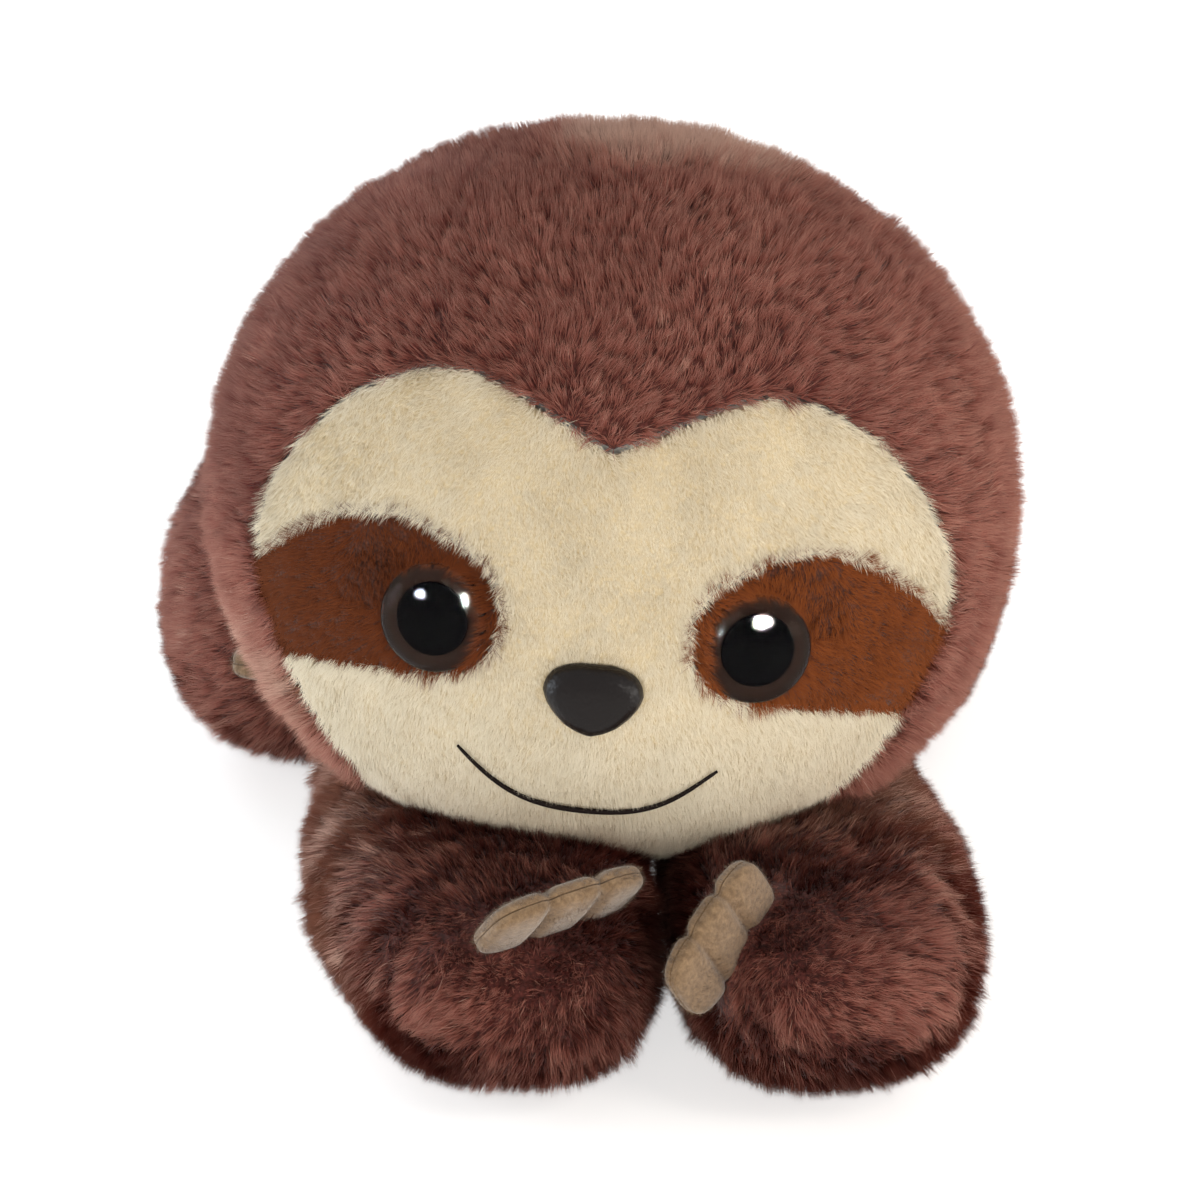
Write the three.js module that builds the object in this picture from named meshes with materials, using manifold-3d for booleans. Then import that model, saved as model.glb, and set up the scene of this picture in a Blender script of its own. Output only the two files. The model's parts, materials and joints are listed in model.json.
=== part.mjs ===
// A plush sloth lying on its belly, its chin on its two front paws.
//
// Lengths are millimetres and angles are degrees. +Z is up, the toy looks along -Y, and left is -X,
// as seen from the front. The origin is where the belly rests, under the middle of the torso.
// Each soft part is a sewn cover over its own stuffing. The head turns on a ball of stuffing that
// fills the neck opening, and each limb turns on a round root that sits in a hollow of the torso.

import * as THREE from "three";
import { mergeVertices } from "three/addons/utils/BufferGeometryUtils.js";
import Module from "manifold-3d";

const wasm = await Module();
wasm.setup();

// Fabric, and the gaps that neighbours keep
const coverWall = 3;
const seamGap = 0.3;
const restGap = 0.4;
const fillGap = 0.4;
const floorFlat = 0.5;
const overrun = 2;

// Torso
const torsoHalfWidth = 64;
const torsoHalfLength = 78;
const torsoRise = 69.5;
const torsoDrop = 42.5;
const torsoSquareness = 2.4;
const torsoTaper = 0.3;
const backSeamOffset = 5;
const bellyHalfWidth = 34;
const bellyHalfLength = 56;
const pelletHalfWidth = 24;
const pelletHalfLength = 34;
const pelletHeight = 22;

// Head
const headHalfWidth = 65;
const headHalfDepth = 55;
const headHalfHeight = 60;
const headSquareness = 2.06;
const headAhead = 100;
const headLift = 83;
const headRoll = 5;
const headYaw = 2.5;
const muzzleRise = 8;
const muzzleReachAcross = 27;
const muzzleReachUp = 19;
const muzzleDrop = 17;
const neckRadius = 30;
const neckBehindHead = 42;
const neckBelowHead = 7;
const nodRange = 16;

// Face panel and eye patches, cut square to an axis that leans up from the front of the head
const faceLean = 20;
const facePanelBack = 12;

// Eyes
const eyeDiameter = 16.5;
const pupilDiameter = 12.3;
const eyePlate = 1.4;
const pupilThickness = 0.6;
const domeHeight = 4.6;
const eyeSink = 1.2;
const eyeTurnOut = 17;
const eyeTurnUp = 3;
const shankDiameter = 4;
const shankLength = 12;
const washerDiameter = 14;
const washerThickness = 1.6;
const washerTiltShare = 0.15;

// Nose and mouth
const noseHalfWidth = 7.9;
const noseHalfHeight = 5.8;
const noseDome = 5;
const noseSink = 1.2;
const noseTurnUp = 6;
const noseShankLength = 10;
const threadDiameter = 1.2;

// Front limbs
const armHalfWidth = 28.6;
const armHalfHeight = 19.5;
const armReach = 77;
const armSquareness = 2.6;
const armSquarerInside = 0.8;
const leftArmTaper = 0.15;
const rightArmTaper = 0.34;
const armRootRadius = 21.5;
const armRootBehindHead = 34;
const armGap = 1;
const leftArmYaw = 7;
const rightArmYaw = 6;
const armSwing = 30;

// Hind limbs
const legHalfWidth = 27;
const legHalfHeight = 29.5;
const legReach = 44;
const legSquareness = 2.4;
const legTaper = 0.06;
const legRootRadius = 26;
const hipAcross = 50;
const hipBack = 37;
const legYaw = -10;
const legSwing = 40;

// Felt claws, three to a mitt, and the web of felt between them
const clawCount = 3;
const clawWidth = 9.4;
const clawPitch = 9.1;
const clawLength = 17;
const clawThickness = 6.2;
const clawSeam = 0.3;
const webSetback = 1;
const webThinning = 0.5;
const webSquareness = 3;

// Mesh fineness of the swelling forms
const outerDetail = { head: 5, torso: 3, limb: 3, ball: 8, cutter: 3 };
const innerDetail = { head: 2, torso: 1, limb: 1, ball: 4, cutter: 1 };
const stepCount = {
  nod: 2,
  swing: 1,
  face: 18,
  patch: 16,
  nose: 10,
  belly: 24,
  domeArc: 4,
  thread: 20,
  clawCap: 2,
  meeting: 40,
};
const sideCount = { lath: 16, shank: 8, thread: 5, claw: 8 };

// Shapes as shares of the sizes that they follow, the right half of each, from the top down
const faceOutlineShares = [
  [0, 0.085], [0.14, 0.165], [0.285, 0.245], [0.41, 0.28], [0.6, 0.215], [0.76, 0.065],
  [0.84, -0.09], [0.855, -0.225], [0.815, -0.37], [0.757, -0.53], [0.7, -0.64], [0.593, -0.78],
  [0.505, -0.88], [0.4, -0.97], [0.215, -1.07], [0, -1.1],
];
const patchOutlineShares = [
  [0.225, -0.338], [0.252, -0.26], [0.318, -0.195], [0.415, -0.143], [0.5, -0.113],
  [0.637, -0.123], [0.742, -0.175], [0.83, -0.25], [0.98, -0.33], [0.98, -0.5], [0.746, -0.508],
  [0.615, -0.517], [0.508, -0.52], [0.377, -0.523], [0.292, -0.502], [0.235, -0.442],
];
const noseOutlineShares = [
  [0, 1], [0.5, 0.96], [0.88, 0.68], [1, 0.2], [0.82, -0.3], [0.45, -0.78], [0, -1],
];
const mouthShares = [
  [-0.3, -0.7], [-0.246, -0.752], [-0.185, -0.797], [-0.12, -0.82], [0, -0.838],
  [0.13, -0.822], [0.195, -0.797], [0.256, -0.752], [0.31, -0.7],
];
const eyePlaceShare = [0.385, -0.375];
const nosePlaceShare = [0.01, -0.55];
const mouthShiftShare = 0.005;
const noseDomeShares = [[1, 0], [1, 0.22], [0.93, 0.55], [0.74, 0.82], [0.42, 0.96]];

// Where each mitt's fingertips lie round its paw, in half sizes of the paw, and how it is turned
const mitts = {
  left_arm: { placeShares: [0.29, -0.84, 0.87], across: [0.92, 0.14, 0.36], along: [0.2, -0.95, 0.25] },
  right_arm: { placeShares: [-0.87, -0.66, 0.78], across: [0.5, 0.55, 0.65], along: [-0.5, -0.58, 0.65] },
  left_leg: { placeShares: [0.3, -1.1, 0], across: [1, 0.1, 0], along: [0.1, -1, 0.1] },
  right_leg: { placeShares: [0.3, -1.1, 0], across: [1, -0.1, 0], along: [0, -1, 0.1] },
};

const radians = THREE.MathUtils.degToRad;
const X = new THREE.Vector3(1, 0, 0);
const Y = new THREE.Vector3(0, 1, 0);
const Z = new THREE.Vector3(0, 0, 1);

// Materials
const material = (color, roughness, options = {}) =>
  new THREE.MeshStandardMaterial({ color, roughness, metalness: 0, ...options });
const brownPile = material(0x7a5048, 0.95);
const lightPile = material(0x9e7d6e, 0.95);
const creamPile = material(0xe0caa8, 0.9);
const patchPile = material(0x6b381f, 0.9);
const tanFelt = material(0xa0835f, 0.9);
const fibreFill = material(0xeeeeea, 1);
const pelletCloth = material(0xb9b5aa, 0.9);
const threadBrown = material(0x2b1c17, 0.7);
const clearAcrylic = material(0xffffff, 0.05, { transparent: true, opacity: 0.3 });
const irisBrown = material(0x6b452a, 0.3);
const pupilBlack = material(0x0a0a0c, 0.2);
const noseBlack = material(0x2b201e, 0.4);
const washerWhite = material(0xe6e6e0, 0.5);

// Joining and cutting
function solidOf(geometry, matrix = new THREE.Matrix4()) {
  const bare = geometry.clone();
  bare.applyMatrix4(matrix);
  bare.deleteAttribute("normal");
  bare.deleteAttribute("uv");
  const merged = mergeVertices(bare);
  const vertProperties = new Float32Array(merged.getAttribute("position").array);
  const triVerts = new Uint32Array(merged.getIndex().array);
  return new wasm.Manifold(new wasm.Mesh({ numProp: 3, vertProperties, triVerts }));
}

function geometryOf(solid) {
  const mesh = solid.getMesh();
  const geometry = new THREE.BufferGeometry();
  geometry.setAttribute("position", new THREE.BufferAttribute(new Float32Array(mesh.vertProperties), 3));
  geometry.setIndex(new THREE.BufferAttribute(new Uint32Array(mesh.triVerts), 1));
  geometry.computeVertexNormals();
  return geometry;
}

function piece(group, name, solid, finish) {
  const mesh = new THREE.Mesh(geometryOf(solid), finish);
  mesh.name = name;
  group.add(mesh);
  return mesh;
}

function joined(solids) {
  return solids.reduce((whole, next) => whole.add(next));
}

// Swelling forms: a ball that is squared off, then stretched to its half sizes. The first argument of
// squarenessAt is the direction from the form's centre.
function roundForm({ half, squarenessAt, detail, centre = new THREE.Vector3(), finish = (p) => p }) {
  const geometry = new THREE.IcosahedronGeometry(1, detail);
  const position = geometry.getAttribute("position");
  const point = new THREE.Vector3();
  for (let i = 0; i < position.count; i += 1) {
    point.fromBufferAttribute(position, i).normalize();
    const power = squarenessAt(point);
    const sum = point.toArray().reduce((total, share) => total + Math.abs(share) ** power, 0);
    point.multiplyScalar(sum ** (-1 / power)).multiply(half(point));
    finish(point);
    point.add(centre);
    position.setXYZ(i, point.x, point.y, point.z);
  }
  return geometry;
}

function ball(radius, centre, rings) {
  const geometry = new THREE.SphereGeometry(radius, 2 * rings, rings);
  geometry.rotateX(Math.PI / 2);
  geometry.translate(centre.x, centre.y, centre.z);
  return solidOf(geometry);
}

// A hollow whose flats clear a ball of this radius, however the ball turns in it
function hollow(radius, centre, rings) {
  const flatShare = Math.cos(Math.PI / (2 * rings)) ** 2;
  return ball(radius / flatShare, centre, rings);
}

// How far a form's flats lie under its true surface, where each edge of the icosahedron is split
const edgeTurn = radians(63.43);

function facetSpare(halfSize, detail) {
  return (halfSize * (edgeTurn / (detail + 1)) ** 2) / 4;
}

function block(low, high) {
  const size = high.clone().sub(low);
  const middle = low.clone().add(high).multiplyScalar(1 / 2);
  const geometry = new THREE.BoxGeometry(size.x, size.y, size.z);
  geometry.translate(middle.x, middle.y, middle.z);
  return solidOf(geometry);
}

const reach = 2 * (torsoHalfLength + headAhead + armReach);

function above(height) {
  return block(new THREE.Vector3(-reach, -reach, height), new THREE.Vector3(reach, reach, reach));
}

// Outlines
function mirrored(shares) {
  const right = shares.map(([x, y]) => [x, y]);
  const left = shares
    .slice(1, -1)
    .reverse()
    .map(([x, y]) => [-x, y]);
  return right.concat(left);
}

function smoothHalf(shares, width, height, steps) {
  const points = shares.map(([x, y]) => new THREE.Vector3(x * width, y * height, 0));
  const curve = new THREE.CatmullRomCurve3(points, false, "centripetal");
  return curve.getPoints(steps).map((p) => [p.x, p.y]);
}

function offsetOutline(points, distance) {
  const count = points.length;
  const area = points.reduce((sum, [x, y], i) => {
    const [nextX, nextY] = points[(i + 1) % count];
    return sum + x * nextY - nextX * y;
  }, 0);
  const outward = Math.sign(area);
  return points.map(([x, y], i) => {
    const [beforeX, beforeY] = points[(i + count - 1) % count];
    const [afterX, afterY] = points[(i + 1) % count];
    const alongX = afterX - beforeX;
    const alongY = afterY - beforeY;
    const length = Math.hypot(alongX, alongY);
    return [x + (outward * distance * alongY) / length, y - (outward * distance * alongX) / length];
  });
}

function prism(points, low, high) {
  const shape = new THREE.Shape(points.map(([x, y]) => new THREE.Vector2(x, y)));
  const geometry = new THREE.ExtrudeGeometry(shape, { depth: high - low, bevelEnabled: false, steps: 1 });
  geometry.translate(0, 0, low);
  return geometry;
}

// Head form, in the head's own frame with the origin at its centre
function muzzle(x, z) {
  const across = (x / muzzleReachAcross) ** 2;
  const up = ((z + muzzleDrop) / muzzleReachUp) ** 2;
  return muzzleRise * Math.exp(-across - up);
}

function headForm(inset, detail) {
  const size = new THREE.Vector3(headHalfWidth - inset, headHalfDepth - inset, headHalfHeight - inset);
  return roundForm({
    half: () => size,
    squarenessAt: () => headSquareness,
    detail,
    finish: (p) => {
      if (p.y < 0) {
        p.y -= muzzle(p.x, p.z);
      }
    },
  });
}

function insideHead(p) {
  const y = p.y < 0 ? Math.min(p.y + muzzle(p.x, p.z), 0) : p.y;
  const sum =
    Math.abs(p.x / headHalfWidth) ** headSquareness +
    Math.abs(y / headHalfDepth) ** headSquareness +
    Math.abs(p.z / headHalfHeight) ** headSquareness;
  return sum < 1;
}

const lean = radians(faceLean);
const faceUp = new THREE.Vector3(0, Math.sin(lean), Math.cos(lean));
const faceOut = new THREE.Vector3(0, -Math.cos(lean), Math.sin(lean));
const faceFrame = new THREE.Matrix4().makeBasis(X, faceUp, faceOut);

// The point of the head's surface at a place on the face, given in shares of the head's half sizes
function onFace([across, up]) {
  const base = new THREE.Vector3(across * headHalfWidth, 0, 0).addScaledVector(faceUp, up * headHalfHeight);
  let near = -facePanelBack;
  let far = 2 * headHalfDepth;
  const p = new THREE.Vector3();
  for (let i = 0; i < stepCount.meeting; i += 1) {
    const middle = (near + far) / 2;
    p.copy(base).addScaledVector(faceOut, middle);
    if (insideHead(p)) {
      near = middle;
    } else {
      far = middle;
    }
  }
  return p.clone();
}

const root = new THREE.Group();
const head = new THREE.Group();
head.position.set(0, -headAhead, headLift);
head.rotation.set(0, radians(headRoll), radians(-headYaw), "ZYX");
head.updateMatrix();
root.add(head);

const neck = new THREE.Vector3(0, neckBehindHead - headAhead, headLift - neckBelowHead);
const neckInHead = neck.clone().applyMatrix4(head.matrix.clone().invert());

// Everything that the head sweeps as it lifts, grown by a clearance, in the root frame
function headSwept(clearance, detail) {
  const copies = [];
  const grown = clearance + facetSpare(headHalfWidth, detail);
  for (let i = 0; i <= stepCount.nod; i += 1) {
    const turn = new THREE.Matrix4()
      .makeTranslation(neck.x, neck.y, neck.z)
      .multiply(new THREE.Matrix4().makeRotationX(-radians((nodRange * i) / stepCount.nod)))
      .multiply(new THREE.Matrix4().makeTranslation(-neck.x, -neck.y, -neck.z));
    copies.push(solidOf(headForm(-grown, detail), turn.multiply(head.matrix)));
  }
  return joined(copies);
}

// Torso form, in the root frame
const torsoCentre = new THREE.Vector3(0, 0, torsoDrop - floorFlat);

function torsoForm(inset, detail) {
  const length = torsoHalfLength - inset;
  const upper = new THREE.Vector3(torsoHalfWidth - inset, length, torsoRise - inset);
  const lower = new THREE.Vector3(torsoHalfWidth - inset, length, torsoDrop - inset);
  return roundForm({
    half: (p) => (p.z < 0 ? lower : upper),
    squarenessAt: () => torsoSquareness,
    detail,
    centre: torsoCentre,
    finish: (p) => {
      p.x *= 1 - (torsoTaper * (1 - p.y / length)) / 2;
    },
  });
}

// Limb forms, in a limb's own frame: the root's centre is the origin and the limb points along -Y
const arm = {
  halfWidth: armHalfWidth,
  halfHeight: armHalfHeight,
  reach: armReach,
  squareness: armSquareness,
  squarerInside: armSquarerInside,
  rootRadius: armRootRadius,
  swing: armSwing,
};
const leg = {
  halfWidth: legHalfWidth,
  halfHeight: legHalfHeight,
  reach: legReach,
  squareness: legSquareness,
  squarerInside: 0,
  rootRadius: legRootRadius,
  swing: legSwing,
};

function limbHalfLength(limb) {
  return (limb.reach + limb.halfWidth + limb.rootRadius) / 2;
}

function limbCentre(limb) {
  const behind = limbHalfLength(limb) - limb.rootRadius;
  return new THREE.Vector3(0, -behind, limb.halfHeight - limb.rootRadius);
}

function limbForm({ shape, side, taper }, inset, detail) {
  const length = limbHalfLength(shape);
  const size = new THREE.Vector3(shape.halfWidth - inset, length - inset, shape.halfHeight - inset);
  return roundForm({
    half: () => size,
    squarenessAt: (p) => shape.squareness - side * p.x * shape.squarerInside,
    detail,
    centre: limbCentre(shape),
    finish: (p) => {
      p.x *= 1 - (taper * (1 + p.y / length)) / 2;
    },
  });
}

function paw(limb) {
  return new THREE.Vector3(0, -limb.reach, limb.halfHeight - limb.rootRadius);
}

const shoulderAcross = armHalfWidth + armGap / 2;
const shoulderBack = armRootBehindHead - headAhead;
const limbs = [
  { name: "left_arm", shape: arm, side: -1, yaw: leftArmYaw, taper: leftArmTaper },
  { name: "right_arm", shape: arm, side: 1, yaw: rightArmYaw, taper: rightArmTaper },
  { name: "left_leg", shape: leg, side: -1, yaw: legYaw, taper: legTaper },
  { name: "right_leg", shape: leg, side: 1, yaw: legYaw, taper: legTaper },
];
for (const limb of limbs) {
  const [across, back] = limb.shape === arm ? [shoulderAcross, shoulderBack] : [hipAcross, hipBack];
  limb.at = [limb.side * across, back];
  limb.group = new THREE.Group();
  limb.group.position.set(limb.at[0], limb.at[1], limb.shape.rootRadius - floorFlat);
  limb.group.rotation.z = radians(limb.yaw);
  limb.group.updateMatrix();
  root.add(limb.group);
}

// What a fixed form, in the root frame, sweeps as seen from a limb that swings outwards
function sweptPast(limb, geometry) {
  const copies = [];
  for (let i = 0; i <= stepCount.swing; i += 1) {
    const swing = limb.side * radians((limb.shape.swing * i) / stepCount.swing);
    const turned = limb.group.matrix.clone().multiply(new THREE.Matrix4().makeRotationZ(swing));
    copies.push(solidOf(geometry, turned.invert()));
  }
  return joined(copies);
}

function torsoPast(limb, clear, detail) {
  return sweptPast(limb, torsoForm(-clear - facetSpare(torsoHalfLength, detail), detail));
}

// A limb at a depth under its surface: its round root, and the rest of it clear of torso and head
function limbSolid(limb, inset, details) {
  const clear = restGap + inset;
  const { shape } = limb;
  const form = solidOf(limbForm(limb, inset, details.limb));
  const outside = form.subtract(torsoPast(limb, clear, details.cutter));
  const whole = ball(shape.rootRadius - inset, new THREE.Vector3(), details.ball).add(outside);
  const pastHead = headInRoot(-clear - facetSpare(headHalfWidth, details.cutter), details.cutter);
  const underHead = shape === arm ? sweptPast(limb, pastHead) : null;
  const trimmed = underHead ? whole.subtract(underHead) : whole;
  return largest(trimmed.intersect(above(floorFlat - shape.rootRadius + inset)));
}

function headInRoot(inset, detail) {
  const geometry = headForm(inset, detail);
  geometry.applyMatrix4(head.matrix);
  return geometry;
}

// Offcuts that a cut leaves behind are dropped
function largest(solid) {
  return solid.decompose().reduce((best, next) => (next.volume() > best.volume() ? next : best));
}

// Head cover, face panel and eye patches
const faceHalf = smoothHalf(faceOutlineShares, headHalfWidth, headHalfHeight, stepCount.face);
const faceOutline = mirrored(faceHalf);
const patchRight = new THREE.CatmullRomCurve3(
  patchOutlineShares.map(([x, y]) => new THREE.Vector3(x * headHalfWidth, y * headHalfHeight, 0)),
  true,
  "centripetal",
)
  .getPoints(stepCount.patch)
  .slice(0, -1)
  .map((p) => [p.x, p.y]);
const patchLeft = patchRight.map(([x, y]) => [-x, y]);

function faceCutter(outline, grown) {
  return solidOf(prism(offsetOutline(outline, grown), -facePanelBack, reach), faceFrame);
}

function patchCutter(outline, grown) {
  return solidOf(prism(offsetOutline(outline, grown), 0, reach), faceFrame);
}

const headShell = solidOf(headForm(0, outerDetail.head))
  .subtract(solidOf(headForm(coverWall, innerDetail.head)))
  .subtract(hollow(neckRadius + fillGap, neckInHead, outerDetail.ball));
piece(head, "head_cover", largest(headShell.subtract(faceCutter(faceOutline, seamGap / 2))), brownPile);

const sides = [
  { name: "left", sign: -1, outline: patchLeft },
  { name: "right", sign: 1, outline: patchRight },
];
const faceShell = headShell.intersect(faceCutter(faceOutline, -seamGap / 2));
let facePanel = faceShell;
let headFill = solidOf(headForm(coverWall + fillGap, innerDetail.head)).subtract(
  hollow(neckRadius + fillGap, neckInHead, outerDetail.ball),
);

// A frame with its Y axis square to a seat under a place on the face
function seatFrame(place, sink, turnOut, turnUp) {
  const surface = onFace(place);
  const out = new THREE.Vector3(
    Math.sin(radians(turnOut)) * Math.cos(radians(turnUp)),
    -Math.cos(radians(turnOut)) * Math.cos(radians(turnUp)),
    Math.sin(radians(turnUp)),
  );
  const across = new THREE.Vector3().crossVectors(out, Z).normalize();
  const up = new THREE.Vector3().crossVectors(across, out);
  const seat = surface.addScaledVector(out, -sink);
  return new THREE.Matrix4().makeBasis(across, out, up).setPosition(seat);
}

function turned(profile) {
  return new THREE.LatheGeometry(
    profile.map(([r, y]) => new THREE.Vector2(r, y)),
    sideCount.lath,
  );
}

function post(radius, low, high, frame) {
  const geometry = new THREE.CylinderGeometry(radius, radius, high - low, sideCount.shank);
  geometry.translate(0, (low + high) / 2, 0);
  return solidOf(geometry, frame);
}

function drum(radius, low, high, frame) {
  const geometry = new THREE.CylinderGeometry(radius, radius, high - low, sideCount.lath);
  geometry.translate(0, (low + high) / 2, 0);
  return solidOf(geometry, frame);
}

const shankRadius = shankDiameter / 2;
const washerRadius = washerDiameter / 2;
const wallUnderSeat = coverWall + facetSpare(headHalfWidth, innerDetail.head);
const washerDepth = wallUnderSeat + washerTiltShare * washerRadius + seamGap;

function washer(frame) {
  const top = -washerDepth;
  const bottom = top - washerThickness;
  const bore = shankRadius + seamGap;
  return drum(washerRadius, bottom, top, frame).subtract(post(bore, bottom - overrun, top + overrun, frame));
}

const eyeRadius = eyeDiameter / 2;
const pupilRadius = pupilDiameter / 2;
const pupilLow = eyePlate + seamGap;
const pupilHigh = pupilLow + pupilThickness;
const domeLow = eyePlate + seamGap;
const domeTop = domeLow + domeHeight;

function eyeDome(frame) {
  const pocket = pupilRadius + seamGap;
  const roof = pupilHigh + seamGap;
  const profile = [[pocket, domeLow]];
  const rise = domeHeight - seamGap;
  profile.push([eyeRadius, domeLow]);
  for (let i = 0; i < stepCount.domeArc; i += 1) {
    const turn = (Math.PI / 2) * (i / stepCount.domeArc);
    profile.push([eyeRadius * Math.cos(turn), domeLow + seamGap + rise * Math.sin(turn)]);
  }
  profile.push([0, domeTop]);
  profile.push([0, roof], [pocket, roof], [pocket, domeLow]);
  return solidOf(turned(profile), frame);
}

for (const side of sides) {
  const [across, up] = eyePlaceShare;
  const frame = seatFrame([side.sign * across, up], eyeSink, side.sign * eyeTurnOut, eyeTurnUp);
  const shankHole = post(shankRadius + seamGap, -shankLength, overrun, frame);
  const seat = drum(eyeRadius + seamGap, -seamGap, domeTop + overrun, frame);
  const patchRegion = patchCutter(side.outline, -seamGap / 2);
  const patch = faceShell.intersect(patchRegion).subtract(shankHole).subtract(seat);
  piece(head, `${side.name}_eye_patch`, largest(patch), patchPile);
  facePanel = facePanel.subtract(patchCutter(side.outline, seamGap / 2)).subtract(seat);
  const pocketLow = -shankLength - fillGap;
  headFill = headFill.subtract(drum(washerRadius + fillGap, pocketLow, overrun, frame));
  const plate = drum(eyeRadius, 0, eyePlate, frame).add(post(shankRadius, -shankLength, eyePlate / 2, frame));
  piece(head, `${side.name}_eye_iris`, plate, irisBrown);
  piece(head, `${side.name}_eye_pupil`, drum(pupilRadius, pupilLow, pupilHigh, frame), pupilBlack);
  piece(head, `${side.name}_eye_dome`, eyeDome(frame), clearAcrylic);
  piece(head, `${side.name}_eye_washer`, washer(frame), washerWhite);
}

// Nose: a domed rounded triangle on a shank
const noseFrame = seatFrame(nosePlaceShare, noseSink, 0, noseTurnUp);
const noseOutline = mirrored(smoothHalf(noseOutlineShares, noseHalfWidth, noseHalfHeight, stepCount.nose));

function domed(outline, height, domeShares) {
  const rings = domeShares.map(([scale, rise]) =>
    outline.map(([x, y]) => new THREE.Vector3(x * scale, rise * height, y * scale)),
  );
  const count = outline.length;
  const vertices = rings.flat();
  const bottom = vertices.push(new THREE.Vector3(0, 0, 0)) - 1;
  const top = vertices.push(new THREE.Vector3(0, height, 0)) - 1;
  const index = [];
  for (let i = 0; i < count; i += 1) {
    const next = (i + 1) % count;
    index.push(bottom, next, i);
    for (let ring = 0; ring < rings.length - 1; ring += 1) {
      const low = ring * count;
      const high = low + count;
      index.push(low + i, low + next, high + i, low + next, high + next, high + i);
    }
    const last = (rings.length - 1) * count;
    index.push(last + i, last + next, top);
  }
  const geometry = new THREE.BufferGeometry().setFromPoints(vertices);
  geometry.setIndex(index);
  return geometry;
}

const noseSeat = solidOf(
  prism(offsetOutline(noseOutline, seamGap), -noseDome - overrun, seamGap),
  noseFrame.clone().multiply(new THREE.Matrix4().makeBasis(X, Z, Y.clone().negate())),
);
const noseHole = post(shankRadius + seamGap, -noseShankLength - overrun, overrun, noseFrame);
facePanel = facePanel.subtract(noseSeat).subtract(noseHole);
headFill = headFill.subtract(drum(washerRadius + fillGap, -noseShankLength - fillGap, overrun, noseFrame));
const noseBody = solidOf(domed(noseOutline, noseDome, noseDomeShares), noseFrame);
piece(head, "nose", noseBody.add(post(shankRadius, -noseShankLength, noseDome / 2, noseFrame)), noseBlack);
piece(head, "nose_washer", washer(noseFrame), washerWhite);
piece(head, "face_panel", largest(facePanel), creamPile);
piece(head, "head_stuffing", largest(headFill), fibreFill);

// Mouth: a thread that lies on the face panel
const threadRadius = threadDiameter / 2;
const mouthPoints = mouthShares.map(([x, y]) => {
  const p = onFace([x + mouthShiftShare, y]);
  const size = new THREE.Vector3(headHalfWidth, headHalfDepth, headHalfHeight);
  const outward = p.clone().divide(size).divide(size);
  return p.addScaledVector(outward.normalize(), threadRadius + seamGap);
});
const mouthSection = new THREE.Shape();
for (let i = 0; i < sideCount.thread; i += 1) {
  const turn = (2 * Math.PI * i) / sideCount.thread;
  const place = [threadRadius * Math.cos(turn), threadRadius * Math.sin(turn)];
  if (i) {
    mouthSection.lineTo(...place);
  } else {
    mouthSection.moveTo(...place);
  }
}
const mouthTube = new THREE.ExtrudeGeometry(mouthSection, {
  steps: stepCount.thread,
  extrudePath: new THREE.CatmullRomCurve3(mouthPoints),
  bevelEnabled: false,
});
piece(head, "mouth_stitching", solidOf(mouthTube), threadBrown);

// Torso: two back covers that meet in the back seam, a belly panel, stuffing and a bag of pellets
function sockets(grown, rings) {
  return joined(
    limbs.map(({ group, shape }) => hollow(shape.rootRadius + fillGap + grown, group.position, rings)),
  );
}

function torsoSolid(inset, details) {
  const whole = solidOf(torsoForm(inset, details.torso))
    .subtract(headSwept(restGap + inset, details.cutter))
    .subtract(sockets(inset, details.ball));
  return largest(whole.intersect(above(inset)));
}

const neckBall = ball(neckRadius, neck, outerDetail.ball);
const torsoShell = torsoSolid(0, outerDetail)
  .subtract(torsoSolid(coverWall, innerDetail))
  .subtract(hollow(neckRadius + fillGap, neck, innerDetail.ball));

function bellyCutter(grown) {
  const outline = [];
  for (let i = 0; i < stepCount.belly; i += 1) {
    const turn = (2 * Math.PI * i) / stepCount.belly;
    outline.push([(bellyHalfWidth + grown) * Math.cos(turn), (bellyHalfLength + grown) * Math.sin(turn)]);
  }
  return solidOf(prism(outline, -overrun, torsoCentre.z));
}

const backShell = torsoShell.subtract(bellyCutter(seamGap / 2));
const seamLow = new THREE.Vector3(-reach, -reach, -reach);
const leftSide = block(seamLow, new THREE.Vector3(backSeamOffset - seamGap / 2, reach, reach));
const rightLow = new THREE.Vector3(backSeamOffset + seamGap / 2, -reach, -reach);
const rightSide = block(rightLow, new THREE.Vector3(reach, reach, reach));
piece(root, "left_back_cover", largest(backShell.intersect(leftSide)), lightPile);
piece(root, "right_back_cover", largest(backShell.intersect(rightSide)), lightPile);
piece(root, "belly_panel", largest(torsoShell.intersect(bellyCutter(-seamGap / 2))), brownPile);

function pelletForm(grown) {
  const size = new THREE.Vector3(pelletHalfWidth + grown, pelletHalfLength + grown, pelletHeight / 2 + grown);
  const low = coverWall + fillGap;
  return roundForm({
    half: () => size,
    squarenessAt: () => torsoSquareness,
    detail: innerDetail.torso,
    centre: new THREE.Vector3(0, 0, low + pelletHeight / 2),
  });
}

const pelletPocket = solidOf(pelletForm(fillGap)).add(
  block(
    new THREE.Vector3(-pelletHalfWidth / 2, -pelletHalfLength / 2, -overrun),
    new THREE.Vector3(pelletHalfWidth / 2, pelletHalfLength / 2, pelletHeight / 2),
  ),
);
const cavity = torsoSolid(coverWall + fillGap, innerDetail);
const torsoFill = cavity.add(neckBall).subtract(sockets(0, outerDetail.ball)).subtract(pelletPocket);
piece(root, "torso_stuffing", largest(torsoFill), fibreFill);
piece(root, "pellet_bag", largest(cavity.intersect(solidOf(pelletForm(0)))), pelletCloth);

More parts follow.
